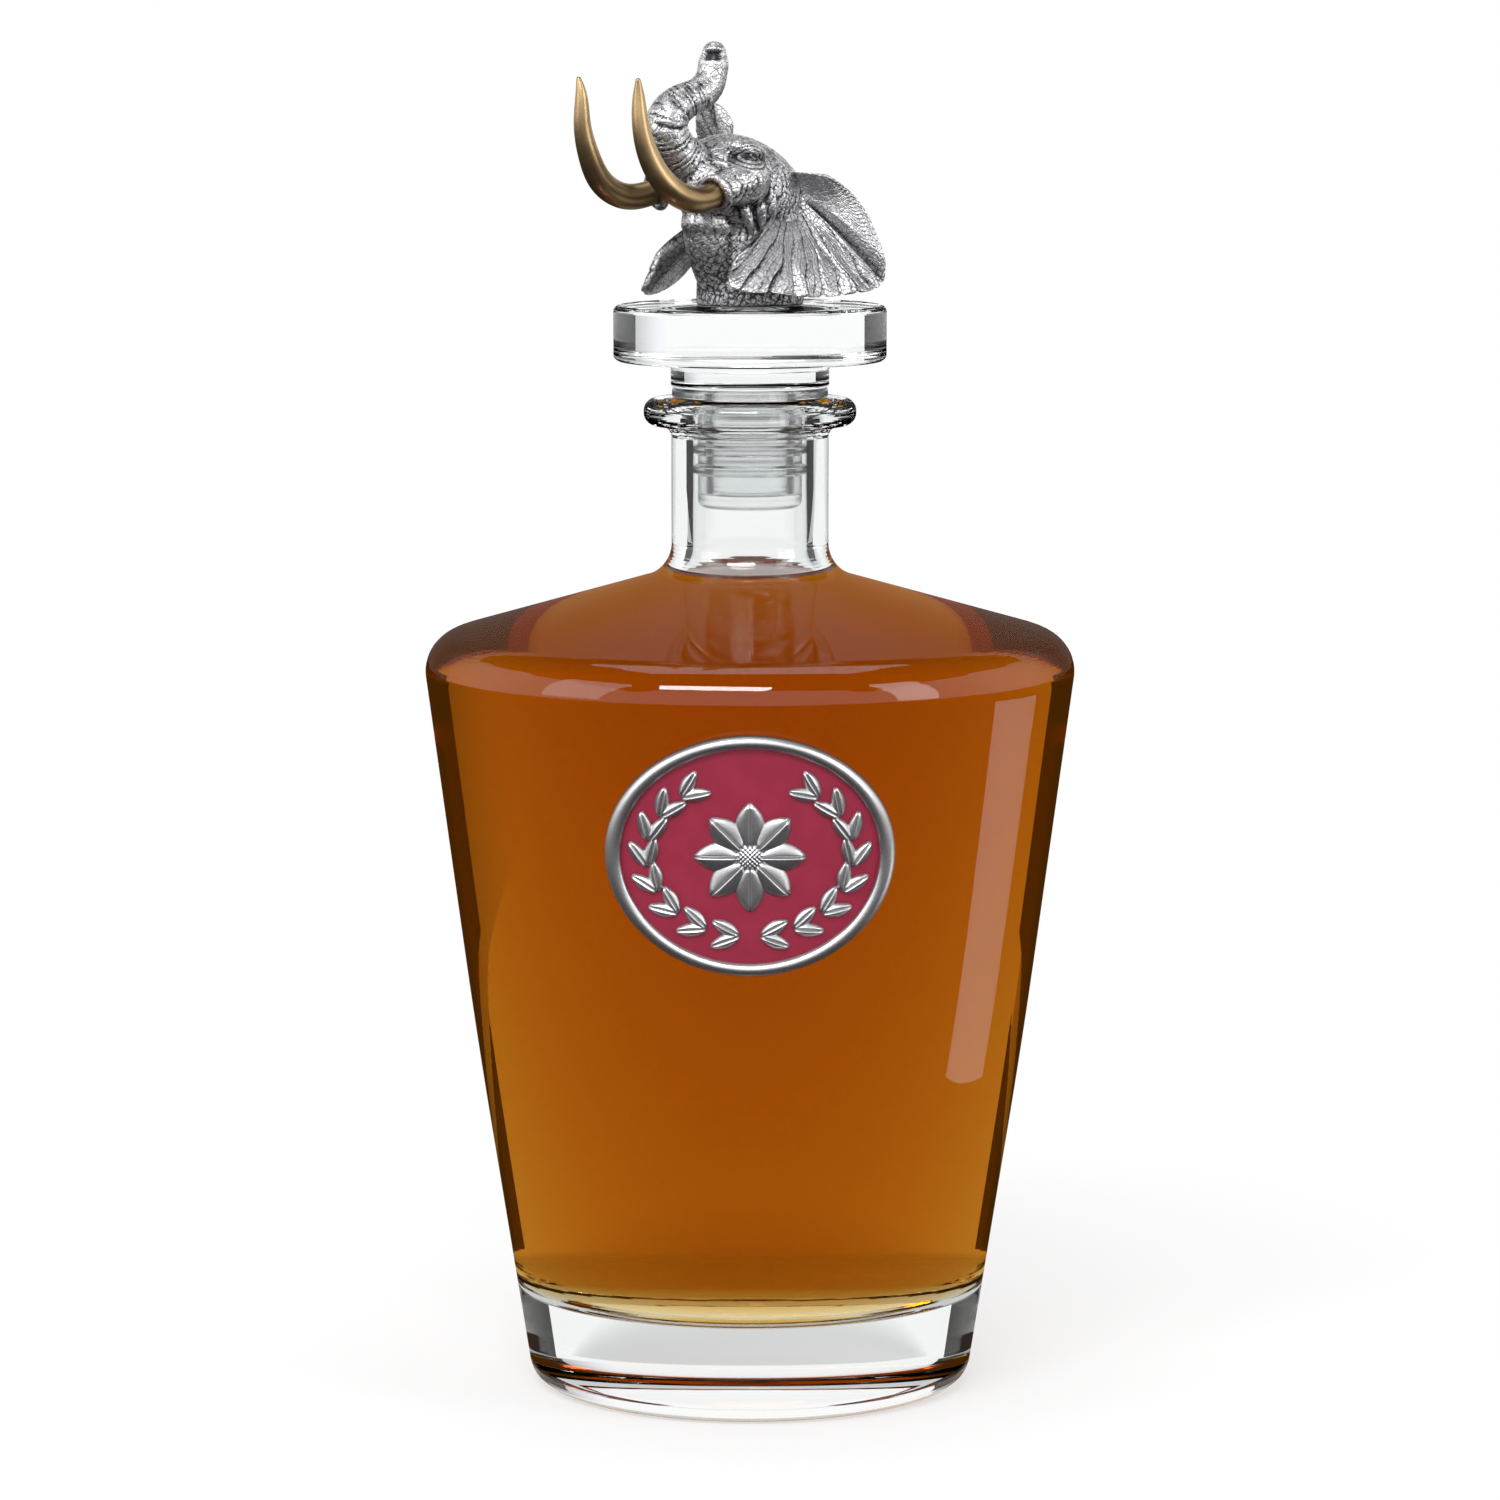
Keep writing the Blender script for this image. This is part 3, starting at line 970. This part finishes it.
forward, left, up = body.T
bent = body + 0.5 * np.sin(body[:, [1, 2, 0]] * 1.3) + 0.2 * np.sin(body[:, [2, 0, 1]] * 3.1)
small_cells = cell_edges(bent * np.array([1.0, 1.0, 0.7]), CELL_MM, 5)
big_cells = cell_edges(bent * np.array([0.6, 1.0, 1.2]), BIG_CELL_MM, 9)
crackle = np.maximum(np.exp(-(small_cells / CELL_LINE) ** 2),
                     BIG_CELL_SHARE * np.exp(-(big_cells / BIG_CELL_LINE) ** 2))

sway = 0.22 * np.sin(left * 0.9 + ring_place * 0.35) + 0.12 * np.sin(forward * 1.4 + left * 2.3)
ring_turn = (ring_place + sway) / RING_MM + 0.3 * np.sin(ring_place * 1.9) + 0.15 * np.sin(ring_place * 4.3)
ring_strength = 0.62 + 0.38 * np.sin(left * 1.7 + ring_place * 2.3)
rings = ring_strength * ridges(ring_turn * FULL_TURN, 3)

eye_gap = np.linalg.norm((mirrored - EYE) * np.array([1.0, 0.8, 1.35]), axis=1)
eye_rings = ridges((eye_gap - FIRST_EYE_RING) * FULL_TURN / EYE_RING_MM, 2)
near_eye = smooth_between(eye_gap, *EYE_ZONE_IN) * (1 - smooth_between(eye_gap, *EYE_ZONE_OUT))

on_cheek = smooth_between(mirrored[:, 1], *CHEEK_SIDE) * (1 - smooth_between(up, *CHEEK_TOP))
on_cheek = on_cheek * (1 - on_trunk)
fold_turn = forward + 0.25 * up + 0.6 * np.sin(up * 0.7) + 0.35 * np.sin(forward * 1.9 + 1.0)
folds = ridges(fold_turn * FULL_TURN / FOLD_MM, 4)
folds *= 0.5 + 0.5 * np.sin(up * 1.3 + forward * 0.8)
print("creased share of the skin", round(float((crackle > 0.5).mean()), 3))

# %% [markdown]
# The depths add up, and each point moves in along its normal by its sum. The trunk's mouth is one deeper
# hollow at its tip, a rounded slot that looks forward and to the left.

# %% Carving
RING_DEPTH, CRACK_DEPTH, EYE_RING_DEPTH, FOLD_DEPTH, MOUTH_DEPTH = 0.20, 0.10, 0.14, 0.17, 1.1
TRUNK_TIP, MOUTH_OUT, MOUTH_LONG, MOUTH_WIDE, MOUTH_TALL = np.array([7.6, 0.0, 42.1]), 2.2, 1.6, 1.75, 0.85
MOUTH_WAY, MOUTH_SIDE, MOUTH_EDGE = np.array([0.70, 0.71, 0.0]), np.array([0.71, -0.70, 0.0]), (0.75, 1.05)
TRUNK_CALMER = 0.7

depth = on_trunk * calm_tip * RING_DEPTH * rings
depth = depth + (1 - TRUNK_CALMER * on_trunk) * CRACK_DEPTH * crackle * (1 - near_eye)
depth += near_eye * EYE_RING_DEPTH * eye_rings + on_cheek * FOLD_DEPTH * folds
from_mouth = body - TRUNK_TIP - MOUTH_OUT * MOUTH_WAY
mouth_gap = np.sqrt((from_mouth @ MOUTH_WAY / MOUTH_LONG) ** 2 + (from_mouth @ MOUTH_SIDE / MOUTH_WIDE) ** 4
                    + (from_mouth[:, 2] / MOUTH_TALL) ** 4)
depth += MOUTH_DEPTH * (1 - smooth_between(mouth_gap, *MOUTH_EDGE))
carved = body - depth[:, None] * (normals_of(skin_mesh) @ DIRECTIONS.T)
skin_mesh.vertices.foreach_set("co", (standing(carved) * MM).astype(np.float32).ravel())
skin_mesh.update()
print("deepest crease", round(float(depth.max()), 2), "mm")

# %% [markdown]
# The patina stays where a cloth can't reach: in every crease, in hollows of the form, which lie below the
# mean of their surroundings, low on the neck, in the pupil and round the eye.

# %% Patina of the skin
OVERALL_SOOT, HOLLOW_SOOT, NECK_SOOT, PUPIL_SOOT, LID_SOOT = 0.08, 9.0, 0.5, 0.6, 0.8
RING_SOOT, EYE_RING_SOOT, CRACK_SOOT, FOLD_SOOT, MOUTH_SOOT = 0.5, 0.4, 0.32, 0.35, 0.9
HOLLOW_ROUNDS, HOLLOW_LEAST, HOLLOW_MOST, NECK_ZONE, MOUTH_SHADE = 5, -0.02, 0.12, (6.0, 12.5), (0.8, 1.05)
PUPIL_PLACE, PUPIL_EDGE, LID_GAP, LID_LINE = np.array([0.2, 0.75, 0.1]), (0.35, 0.55), 1.3, 0.2

carved_normals = normals_of(skin_mesh) @ DIRECTIONS.T
hollow = np.sum((surroundings(skin_mesh, carved, HOLLOW_ROUNDS) - carved) * carved_normals, axis=1)
skin_patina = OVERALL_SOOT + HOLLOW_SOOT * np.clip(hollow, HOLLOW_LEAST, HOLLOW_MOST)
skin_patina += NECK_SOOT * (1 - smooth_between(up, *NECK_ZONE))
skin_patina += RING_SOOT * on_trunk * rings * calm_tip + EYE_RING_SOOT * near_eye * eye_rings
skin_patina += CRACK_SOOT * crackle + FOLD_SOOT * on_cheek * folds
skin_patina += MOUTH_SOOT * (1 - smooth_between(mouth_gap, *MOUTH_SHADE))
pupil = 1 - smooth_between(np.linalg.norm(mirrored - EYE - PUPIL_PLACE, axis=1), *PUPIL_EDGE)
skin_patina += PUPIL_SOOT * pupil + LID_SOOT * np.exp(-((eye_gap - LID_GAP) / LID_LINE) ** 2)
skin_mesh.shade_smooth()
set_patina(skin_mesh, skin_patina)
add_piece("elephant_head_and_trunk", skin_mesh, skin_pewter, "stopper", "pewter",
          "head_casting", "trunk_casting")

# %% [markdown]
# Each ear is a thin leaf of metal with two faces that meet at the rim. A fan of lines runs from the root
# to the rim, the fan is pleated between its veins, and the upper band is folded over like a hood.

# %% Ear
EAR_ROOTS = [(-3.5, 6.6, 22.5), (-4.6, 6.8, 20.6), (-4.9, 7.0, 18.6), (-4.3, 7.0, 17.0), (-3.5, 7.2, 16.0),
             (-2.6, 7.4, 15.4), (-1.6, 7.6, 15.2), (-0.5, 7.6, 15.4), (0.5, 7.5, 16.0)]
EAR_CUP, EAR_THICK, EAR_ROWS, EAR_COLUMNS = 1.2, 1.5, 90, 300
PLEATS, PLEAT_SEED, PLEAT_LEAST, PLEAT_MOST = 17, 3, 0.45, 1.55
GROOVE_LINE, BRANCH_LINE, HOOD_EDGE, HOOD_RISE, CREASE_LINE = 0.24, 0.16, 0.06, 0.9, 0.016
SCALLOP, EAR_SKIN, GROOVE_AT_ROOT, GROOVE_OUTWARD, BRANCH_DEPTH = 0.045, 0.25, 0.2, 0.75, 0.4
RIPPLE_TURN, HOOD_RIPPLE, FAN_RIPPLE, THIN_ENDS, THIN_SIDES = 210.0, 0.10, 0.09, 16, 30
GROOVE_SOOT, BRANCH_SOOT, RIPPLE_SOOT, CREASE_SOOT, ROOT_SOOT, RIM_RUB = 0.9, 0.8, 0.25, 0.8, 0.25, 0.25


def pleat_lines(u, fan):
    """Number of each pleat along the fan, whole at its grooves, with the depth of its groove and its branch.

    Pleats have uneven widths, drawn at random, and their grooves waver a little on the way out. A groove is a
    bell curve in the sine of pi times the number. A narrow branch opens in the outer half of a weak groove's
    pleat.
    """
    widths = np.random.default_rng(PLEAT_SEED).uniform(PLEAT_LEAST, PLEAT_MOST, PLEATS)
    marks = np.concatenate([[0], np.cumsum(widths)]) / widths.sum()
    waver = 0.010 * np.sin(u * 6.0 + fan * 29.0) + 0.006 * np.sin(u * 13.0 + fan * 57.0)
    pleat = np.interp((fan + waver).ravel(), marks, np.arange(PLEATS + 1)).reshape(EAR_ROWS, EAR_COLUMNS, 1)
    size = 0.45 + 0.55 * np.sin(pleat * 1.9 + 0.6) ** 2
    groove = np.exp(-(np.sin(pleat * math.pi) / GROOVE_LINE) ** 2) * size
    branch = np.exp(-(np.sin((pleat + 0.35 + 0.3 * u) * math.pi) / BRANCH_LINE) ** 2)
    return pleat, groove, branch * smooth_between(u, 0.45, 0.7) * (1 - size)


def ear(rim, side, hood, face):
    """Two faces root + u (rim - root), bellied outwards, pleated along the fan and thin at every edge."""
    u = np.linspace(0, 1, EAR_ROWS)[:, None, None]
    fan = np.linspace(0, 1, EAR_COLUMNS)[None, :, None]
    root, edge = batten(EAR_ROOTS, EAR_COLUMNS)[None], batten(rim, EAR_COLUMNS)[None]
    pleat, groove, branch = pleat_lines(u, fan)
    in_fan = smooth_between(fan, hood, hood + HOOD_EDGE)
    sheet = root + u * (1 - SCALLOP * in_fan * groove) * (edge - root)
    belly = EAR_CUP * 4 * u * (1 - u)
    band = (1 - smooth_between(fan, hood - 0.05, hood)) * smooth_between(u, 0.05, 0.3)
    crease = np.exp(-((fan - hood - 0.012) / CREASE_LINE) ** 2) * smooth_between(u, 0.02, 0.2)
    wave = 0.5 * np.sin(pleat * 2.2) + 0.3 * np.sin(pleat * 4.1 + 2 * u)
    pleated = wave * u - groove * (GROOVE_AT_ROOT + GROOVE_OUTWARD * u) - BRANCH_DEPTH * branch
    relief = belly + in_fan * pleated + HOOD_RISE * band - HOOD_RISE * crease
    ripple = np.sin(fan * RIPPLE_TURN + 9.0 * u + 2.0 * np.sin(u * 17.0)) ** 2
    relief = relief - HOOD_RIPPLE * (1 - in_fan) * ripple * smooth_between(u, 0.35, 0.7)
    relief = relief - FAN_RIPPLE * in_fan * ripple
    thin_ends = np.sqrt(np.clip(1 - (2 * u - 1) ** THIN_ENDS, 0, 1))
    thin_sides = np.sqrt(np.clip(1 - (2 * fan - 1) ** THIN_SIDES, 0, 1))
    soft = thin_ends * thin_sides
    out = np.array([math.sin(math.radians(face)), math.cos(math.radians(face)), 0.0])
    outer = sheet + out * (belly + soft * (relief - belly + EAR_SKIN))
    inner = sheet + out * (belly - soft * EAR_THICK * (1.2 - 0.5 * u))
    pleat_soot = GROOVE_SOOT * groove + BRANCH_SOOT * branch + RIPPLE_SOOT * ripple
    stain = 0.1 + in_fan * pleat_soot + CREASE_SOOT * crease
    stain = stain + ROOT_SOOT * (1 - smooth_between(u, 0.0, 0.25)) - RIM_RUB * smooth_between(u, 0.93, 1.0)
    flip = np.array([1, side, 1])
    return outer * flip, inner * flip, stain[..., 0]


print("ear grid", EAR_ROWS, "by", EAR_COLUMNS)

# %% [markdown]
# The left ear is spread low towards the viewer and the right one stands up behind the head, so each has a
# rim of its own. The back of an ear is rubbed less than its front and keeps a more even patina.

# %% Both ears
LEFT_RIM = [(-6.8, 11.7, 22.2), (-11.0, 13.7, 18.6), (-14.0, 16.2, 12.0), (-13.8, 18.6, 4.2),
            (-6.8, 18.2, 2.3), (0.9, 16.8, 2.0), (8.0, 14.8, 2.9), (13.4, 12.3, 3.8), (11.2, 11.2, 9.3)]
RIGHT_RIM = [(-2.5, 8.0, 30.0), (-2.0, 12.0, 33.6), (-2.5, 17.0, 32.5), (-4.5, 20.5, 26.5),
             (-6.0, 21.5, 17.5), (-3.0, 20.0, 8.0), (4.0, 17.0, 2.8), (13.4, 12.3, 2.6), (11.2, 11.2, 9.0)]
# Side, name, rim, where along the fan the hood ends, and how many degrees the ear faces forward.
EARS = [(1, "left", LEFT_RIM, 0.36, 0.0), (-1, "right", RIGHT_RIM, 0.10, 20.0)]
BACK_PATINA, BACK_SHARE = 0.35, 0.3

for side, label, rim_stations, hood, face in EARS:
    outer, inner, stain = ear(rim_stations, side, hood, face)
    points, quads = join_grids([(standing(outer), False), (standing(inner), False)])
    ear_patina = np.concatenate([stain.ravel(), BACK_PATINA + BACK_SHARE * stain.ravel()])
    ear_mesh = make_mesh("ear_" + label + "_pleated", points, quads, ear_patina)
    add_piece("ear_" + label + "_pleated", ear_mesh, skin_pewter, "stopper", "pewter", "ear_" + label)

# %% [markdown]
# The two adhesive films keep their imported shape, which is right, and only take their material.

# %% Adhesive films
for name in ("medallion_adhesive", "finial_adhesive"):
    film_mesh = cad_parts[name].data
    film_mesh.materials.clear()
    film_mesh.materials.append(clear_adhesive)
print("films done")

# %% [markdown]
# The set is a white sweep. Far from the object the floor is as white as the background, and near it the
# floor is an ordinary white surface that keeps the shadow. Stronger lamps could make it white, but they
# would wash out the object. So what the camera, a mirror or the glass sees of the set is white by itself,
# apart from the light that falls on the object. Through the glass the floor is dimmer close to the object.

# %% Floor and background
FLOOR_REACH, AMBIENT = 3.0, 0.55
SHADOW_FROM, SHADOW_TO, SHADOW_WHITE = 0.10, 0.24, 0.62
DIM_FROM, DIM_TO, DIM_BY = 0.12, 0.45, -0.36


def seen_directly(tree, ray):
    """1 for rays that come from the camera, off a mirror or through glass, and 0 for light on its way."""
    first = add_node(tree, "Math", {0: ray.outputs["Is Camera Ray"], 1: ray.outputs["Is Glossy Ray"]},
                     operation="MAXIMUM")
    return add_node(tree, "Math", {0: first, 1: ray.outputs["Is Transmission Ray"]}, operation="MAXIMUM")


# White painted sweep: matt, with its far part as bright as the background.
white_sweep, sweep_tree = new_material("white painted sweep")
sweep_ray = add_node(sweep_tree, "LightPath", {})
sweep_place = add_node(sweep_tree, "TexCoord", {})
from_middle = add_node(sweep_tree, "VectorMath", {0: sweep_place.outputs["Object"]}, operation="LENGTH")
fade = add_node(sweep_tree, "MapRange", {"Value": from_middle, "From Min": SHADOW_FROM, "From Max": SHADOW_TO,
                                         "To Min": SHADOW_WHITE, "To Max": 1.0},
                interpolation_type="SMOOTHSTEP")
near = add_node(sweep_tree, "MapRange", {"Value": from_middle, "From Min": DIM_FROM, "From Max": DIM_TO,
                                         "To Min": DIM_BY, "To Max": 0.0},
                interpolation_type="SMOOTHSTEP")
through = add_node(sweep_tree, "Math", {0: sweep_ray.outputs["Is Transmission Ray"], 1: near, 2: 1.0},
                   operation="MULTIPLY_ADD")
shown = add_node(sweep_tree, "Emission", {"Color": WHITE, "Strength": through})
matt = add_node(sweep_tree, "BsdfDiffuse", {"Color": linear("#F4F4F4")})
sweep_seen = seen_directly(sweep_tree, sweep_ray)
shown_share = add_node(sweep_tree, "Math", {0: fade, 1: sweep_seen}, operation="MULTIPLY")
sweep = add_node(sweep_tree, "MixShader", {0: shown_share, 1: matt, 2: shown})
add_node(sweep_tree, "OutputMaterial", {"Surface": sweep})

scene.world = bpy.data.worlds.new("studio")
scene.world.use_nodes = True
world_tree = scene.world.node_tree
world_tree.nodes.clear()
world_seen = seen_directly(world_tree, add_node(world_tree, "LightPath", {}))
level = add_node(world_tree, "MapRange", {"Value": world_seen, "From Min": 0.0, "From Max": 1.0,
                                          "To Min": AMBIENT, "To Max": 1.0})
sky = add_node(world_tree, "Background", {"Color": WHITE, "Strength": level})
add_node(world_tree, "OutputWorld", {"Surface": sky})


def flat_panel(name, corners, material):
    """A four-sided panel of the set."""
    mesh = bpy.data.meshes.new(name)
    mesh.from_pydata(corners, [], [(0, 1, 2, 3)])
    mesh.materials.append(material)
    panel = bpy.data.objects.new(name, mesh)
    scene.collection.objects.link(panel)
    return panel


def level_square(reach, height):
    """Corners of a level square round the middle."""
    return [(-reach, -reach, height), (reach, -reach, height),
            (reach, reach, height), (-reach, reach, height)]


flat_panel("floor", level_square(FLOOR_REACH, 0), white_sweep)
print("floor", 2 * FLOOR_REACH, "m wide")

# %% [markdown]
# Glass has no colour of its own and shows only what stands round it, so a photographer draws it with cards.
# Dark cards and flags at both sides give the dark lines along its edges, two small flaps on the table give
# them low on the body, and grey cards soften what lies between. A dark ceiling and a dark table keep the
# glass from mirroring white, and a pale window on the table gives the soft reflection on its right side.

# %% Card materials
GREY_FROM, GREY_TO, GREY_LEAST, WINDOW_GLOW = 0.3, 1.2, 0.42, 1.6

# Dark felt: matt, so that it gives an even dark.
dark_card, felt_tree = new_material("dark felt card")
felt = add_node(felt_tree, "BsdfDiffuse", {"Color": linear("#2A2828")})
add_node(felt_tree, "OutputMaterial", {"Surface": felt})
# Grey paper with light behind it: paler towards the back.
grey_card, grey_tree = new_material("grey paper card")
grey_place = add_node(grey_tree, "TexCoord", {})
grey_axes = add_node(grey_tree, "SeparateXYZ", {"Vector": grey_place.outputs["Object"]})
paler = add_node(grey_tree, "MapRange", {"Value": grey_axes.outputs["Y"], "From Min": GREY_FROM,
                                         "From Max": GREY_TO, "To Min": GREY_LEAST, "To Max": 1.0},
                 interpolation_type="SMOOTHSTEP")
grey_glow = add_node(grey_tree, "Emission", {"Color": linear("#FBFBFF"), "Strength": paler})
add_node(grey_tree, "OutputMaterial", {"Surface": grey_glow})
# White diffusing sheet with a lamp behind it: an even pale glow.
window_sheet, window_tree = new_material("white diffusing sheet")
window_glow = add_node(window_tree, "Emission", {"Color": linear("#FFFDF8"), "Strength": WINDOW_GLOW})
add_node(window_tree, "OutputMaterial", {"Surface": window_glow})
print("cards", dark_card.name, grey_card.name, window_sheet.name)

# %% [markdown]
# Each card is seen either by light through the glass or by its mirror images, and never by the camera, and
# it throws no shadow. Real cards stand out of the picture, and here they are simply left out of it.

# %% Cards
CARD_OUT, CARD_FRONT, CARD_BACK, CARD_TOP = 0.60, 0.05, 0.58, 0.07
GREY_TOP, GREY_BACK_RIGHT, GREY_BACK_LEFT = 0.45, 1.2, 0.55
FLAG_OUT, FLAG_FRONT, FLAG_BACK, FLAG_FOOT, FLAG_TOP = 0.59, -0.05, 0.62, 0.082, 0.30
FLAP, FLAP_LIFT = [(0.030, 0.060), (0.085, 0.105), (0.100, 0.030), (0.050, 0.012)], 0.0006
WINDOW, WINDOW_LIFT = [(0.454, 0.029), (0.471, 0.259), (0.183, 0.060), (0.176, -0.022)], 0.001
CEILING, CEILING_OUT = 1.3, 1.5
TABLE_GAP, TABLE_REACH, TABLE_LIFT, TABLE_POINTS = 0.042, 2.9, 0.0005, 65


def upright(out, front, back, foot, top):
    """Corners of an upright card beside the object, at a distance out to one side."""
    return [(out, front, foot), (out, back, foot), (out, back, top), (out, front, top)]


for_glass, for_shine = [], []
for side, label, grey_back in ((1, "right", GREY_BACK_RIGHT), (-1, "left", GREY_BACK_LEFT)):
    out = side * CARD_OUT
    flap = [(side * x, y, FLAP_LIFT) for x, y in FLAP]
    for_glass += [
        flat_panel("card_" + label, upright(out, CARD_FRONT, CARD_BACK, 0.0, CARD_TOP), dark_card),
        flat_panel("card_grey_" + label, upright(out, CARD_FRONT, grey_back, CARD_TOP, GREY_TOP), grey_card),
        flat_panel("card_flag_" + label, upright(side * FLAG_OUT, FLAG_FRONT, FLAG_BACK, FLAG_FOOT, FLAG_TOP),
                   dark_card),
        flat_panel("card_flap_" + label, flap, dark_card)]
for_shine.append(flat_panel("card_ceiling", level_square(CEILING_OUT, CEILING), dark_card))
for_shine.append(flat_panel("card_window", [(x, y, WINDOW_LIFT) for x, y in WINDOW], window_sheet))
table_turn = np.linspace(0, FULL_TURN, TABLE_POINTS)
table_ring = np.stack([np.cos(table_turn), np.sin(table_turn), 0 * table_turn], -1)
table = np.stack([table_ring * TABLE_GAP, table_ring * TABLE_REACH]) + np.array([0, 0, TABLE_LIFT])
table_mesh = bpy.data.meshes.new("card_table")
table_mesh.from_pydata(table.reshape(-1, 3).tolist(), [], grid_quads(2, TABLE_POINTS, False).tolist())
table_mesh.materials.append(dark_card)
for_shine.append(bpy.data.objects.new("card_table", table_mesh))
scene.collection.objects.link(for_shine[-1])
for card in for_glass + for_shine:
    card.visible_camera = False
    card.visible_diffuse = False
    card.visible_shadow = False
    card.visible_transmission = card in for_glass
    card.visible_glossy = card in for_shine
print("cards", len(for_glass), "for the glass and", len(for_shine), "for its shine")

# %% [markdown]
# Four soft boxes light the metal. The one high in front also draws the bright streak on the shoulder. The
# camera stands a metre away with a long lens, as for any picture of a product, and looks a little down.

# %% Lamps and camera
MIDDLE = (0.0, 0.0, 0.11)
# Name, place, width, height and power in watts.
SOFTBOXES = [("softbox_front_top", (-0.22, -0.85, 0.95), 0.72, 0.22, 9.5),
             ("softbox_right", (0.95, -0.55, 0.55), 0.35, 0.9, 3.5),
             ("softbox_left", (-0.95, -0.45, 0.60), 0.5, 0.8, 2.5),
             ("softbox_top", (0.0, 0.25, 1.15), 0.8, 0.6, 2.5)]
CAMERA_PLACE, CAMERA_TARGET, SENSOR_MM, LENS_MM = (0.0, -1.0316, 0.2412), (0.0, 0.0, 0.1089), 36.0, 146.4


def set_up(name, data, place, target):
    """Puts a lamp or a camera, which look along their own -Z, at a place and turns it to a target."""
    thing = bpy.data.objects.new(name, data)
    scene.collection.objects.link(thing)
    thing.location = place
    thing.rotation_euler = (Vector(target) - Vector(thing.location)).to_track_quat("-Z", "Y").to_euler()
    return thing


for name, place, width, height, power in SOFTBOXES:
    light = bpy.data.lights.new(name, "AREA")
    light.shape, light.size, light.size_y, light.energy = "RECTANGLE", width, height, power
    set_up(name, light, place, MIDDLE)
camera_data = bpy.data.cameras.new("camera")
camera_data.sensor_width, camera_data.lens = SENSOR_MM, LENS_MM
scene.camera = set_up("camera", camera_data, CAMERA_PLACE, CAMERA_TARGET)
print("lamps", len(SOFTBOXES), "camera at", CAMERA_PLACE)
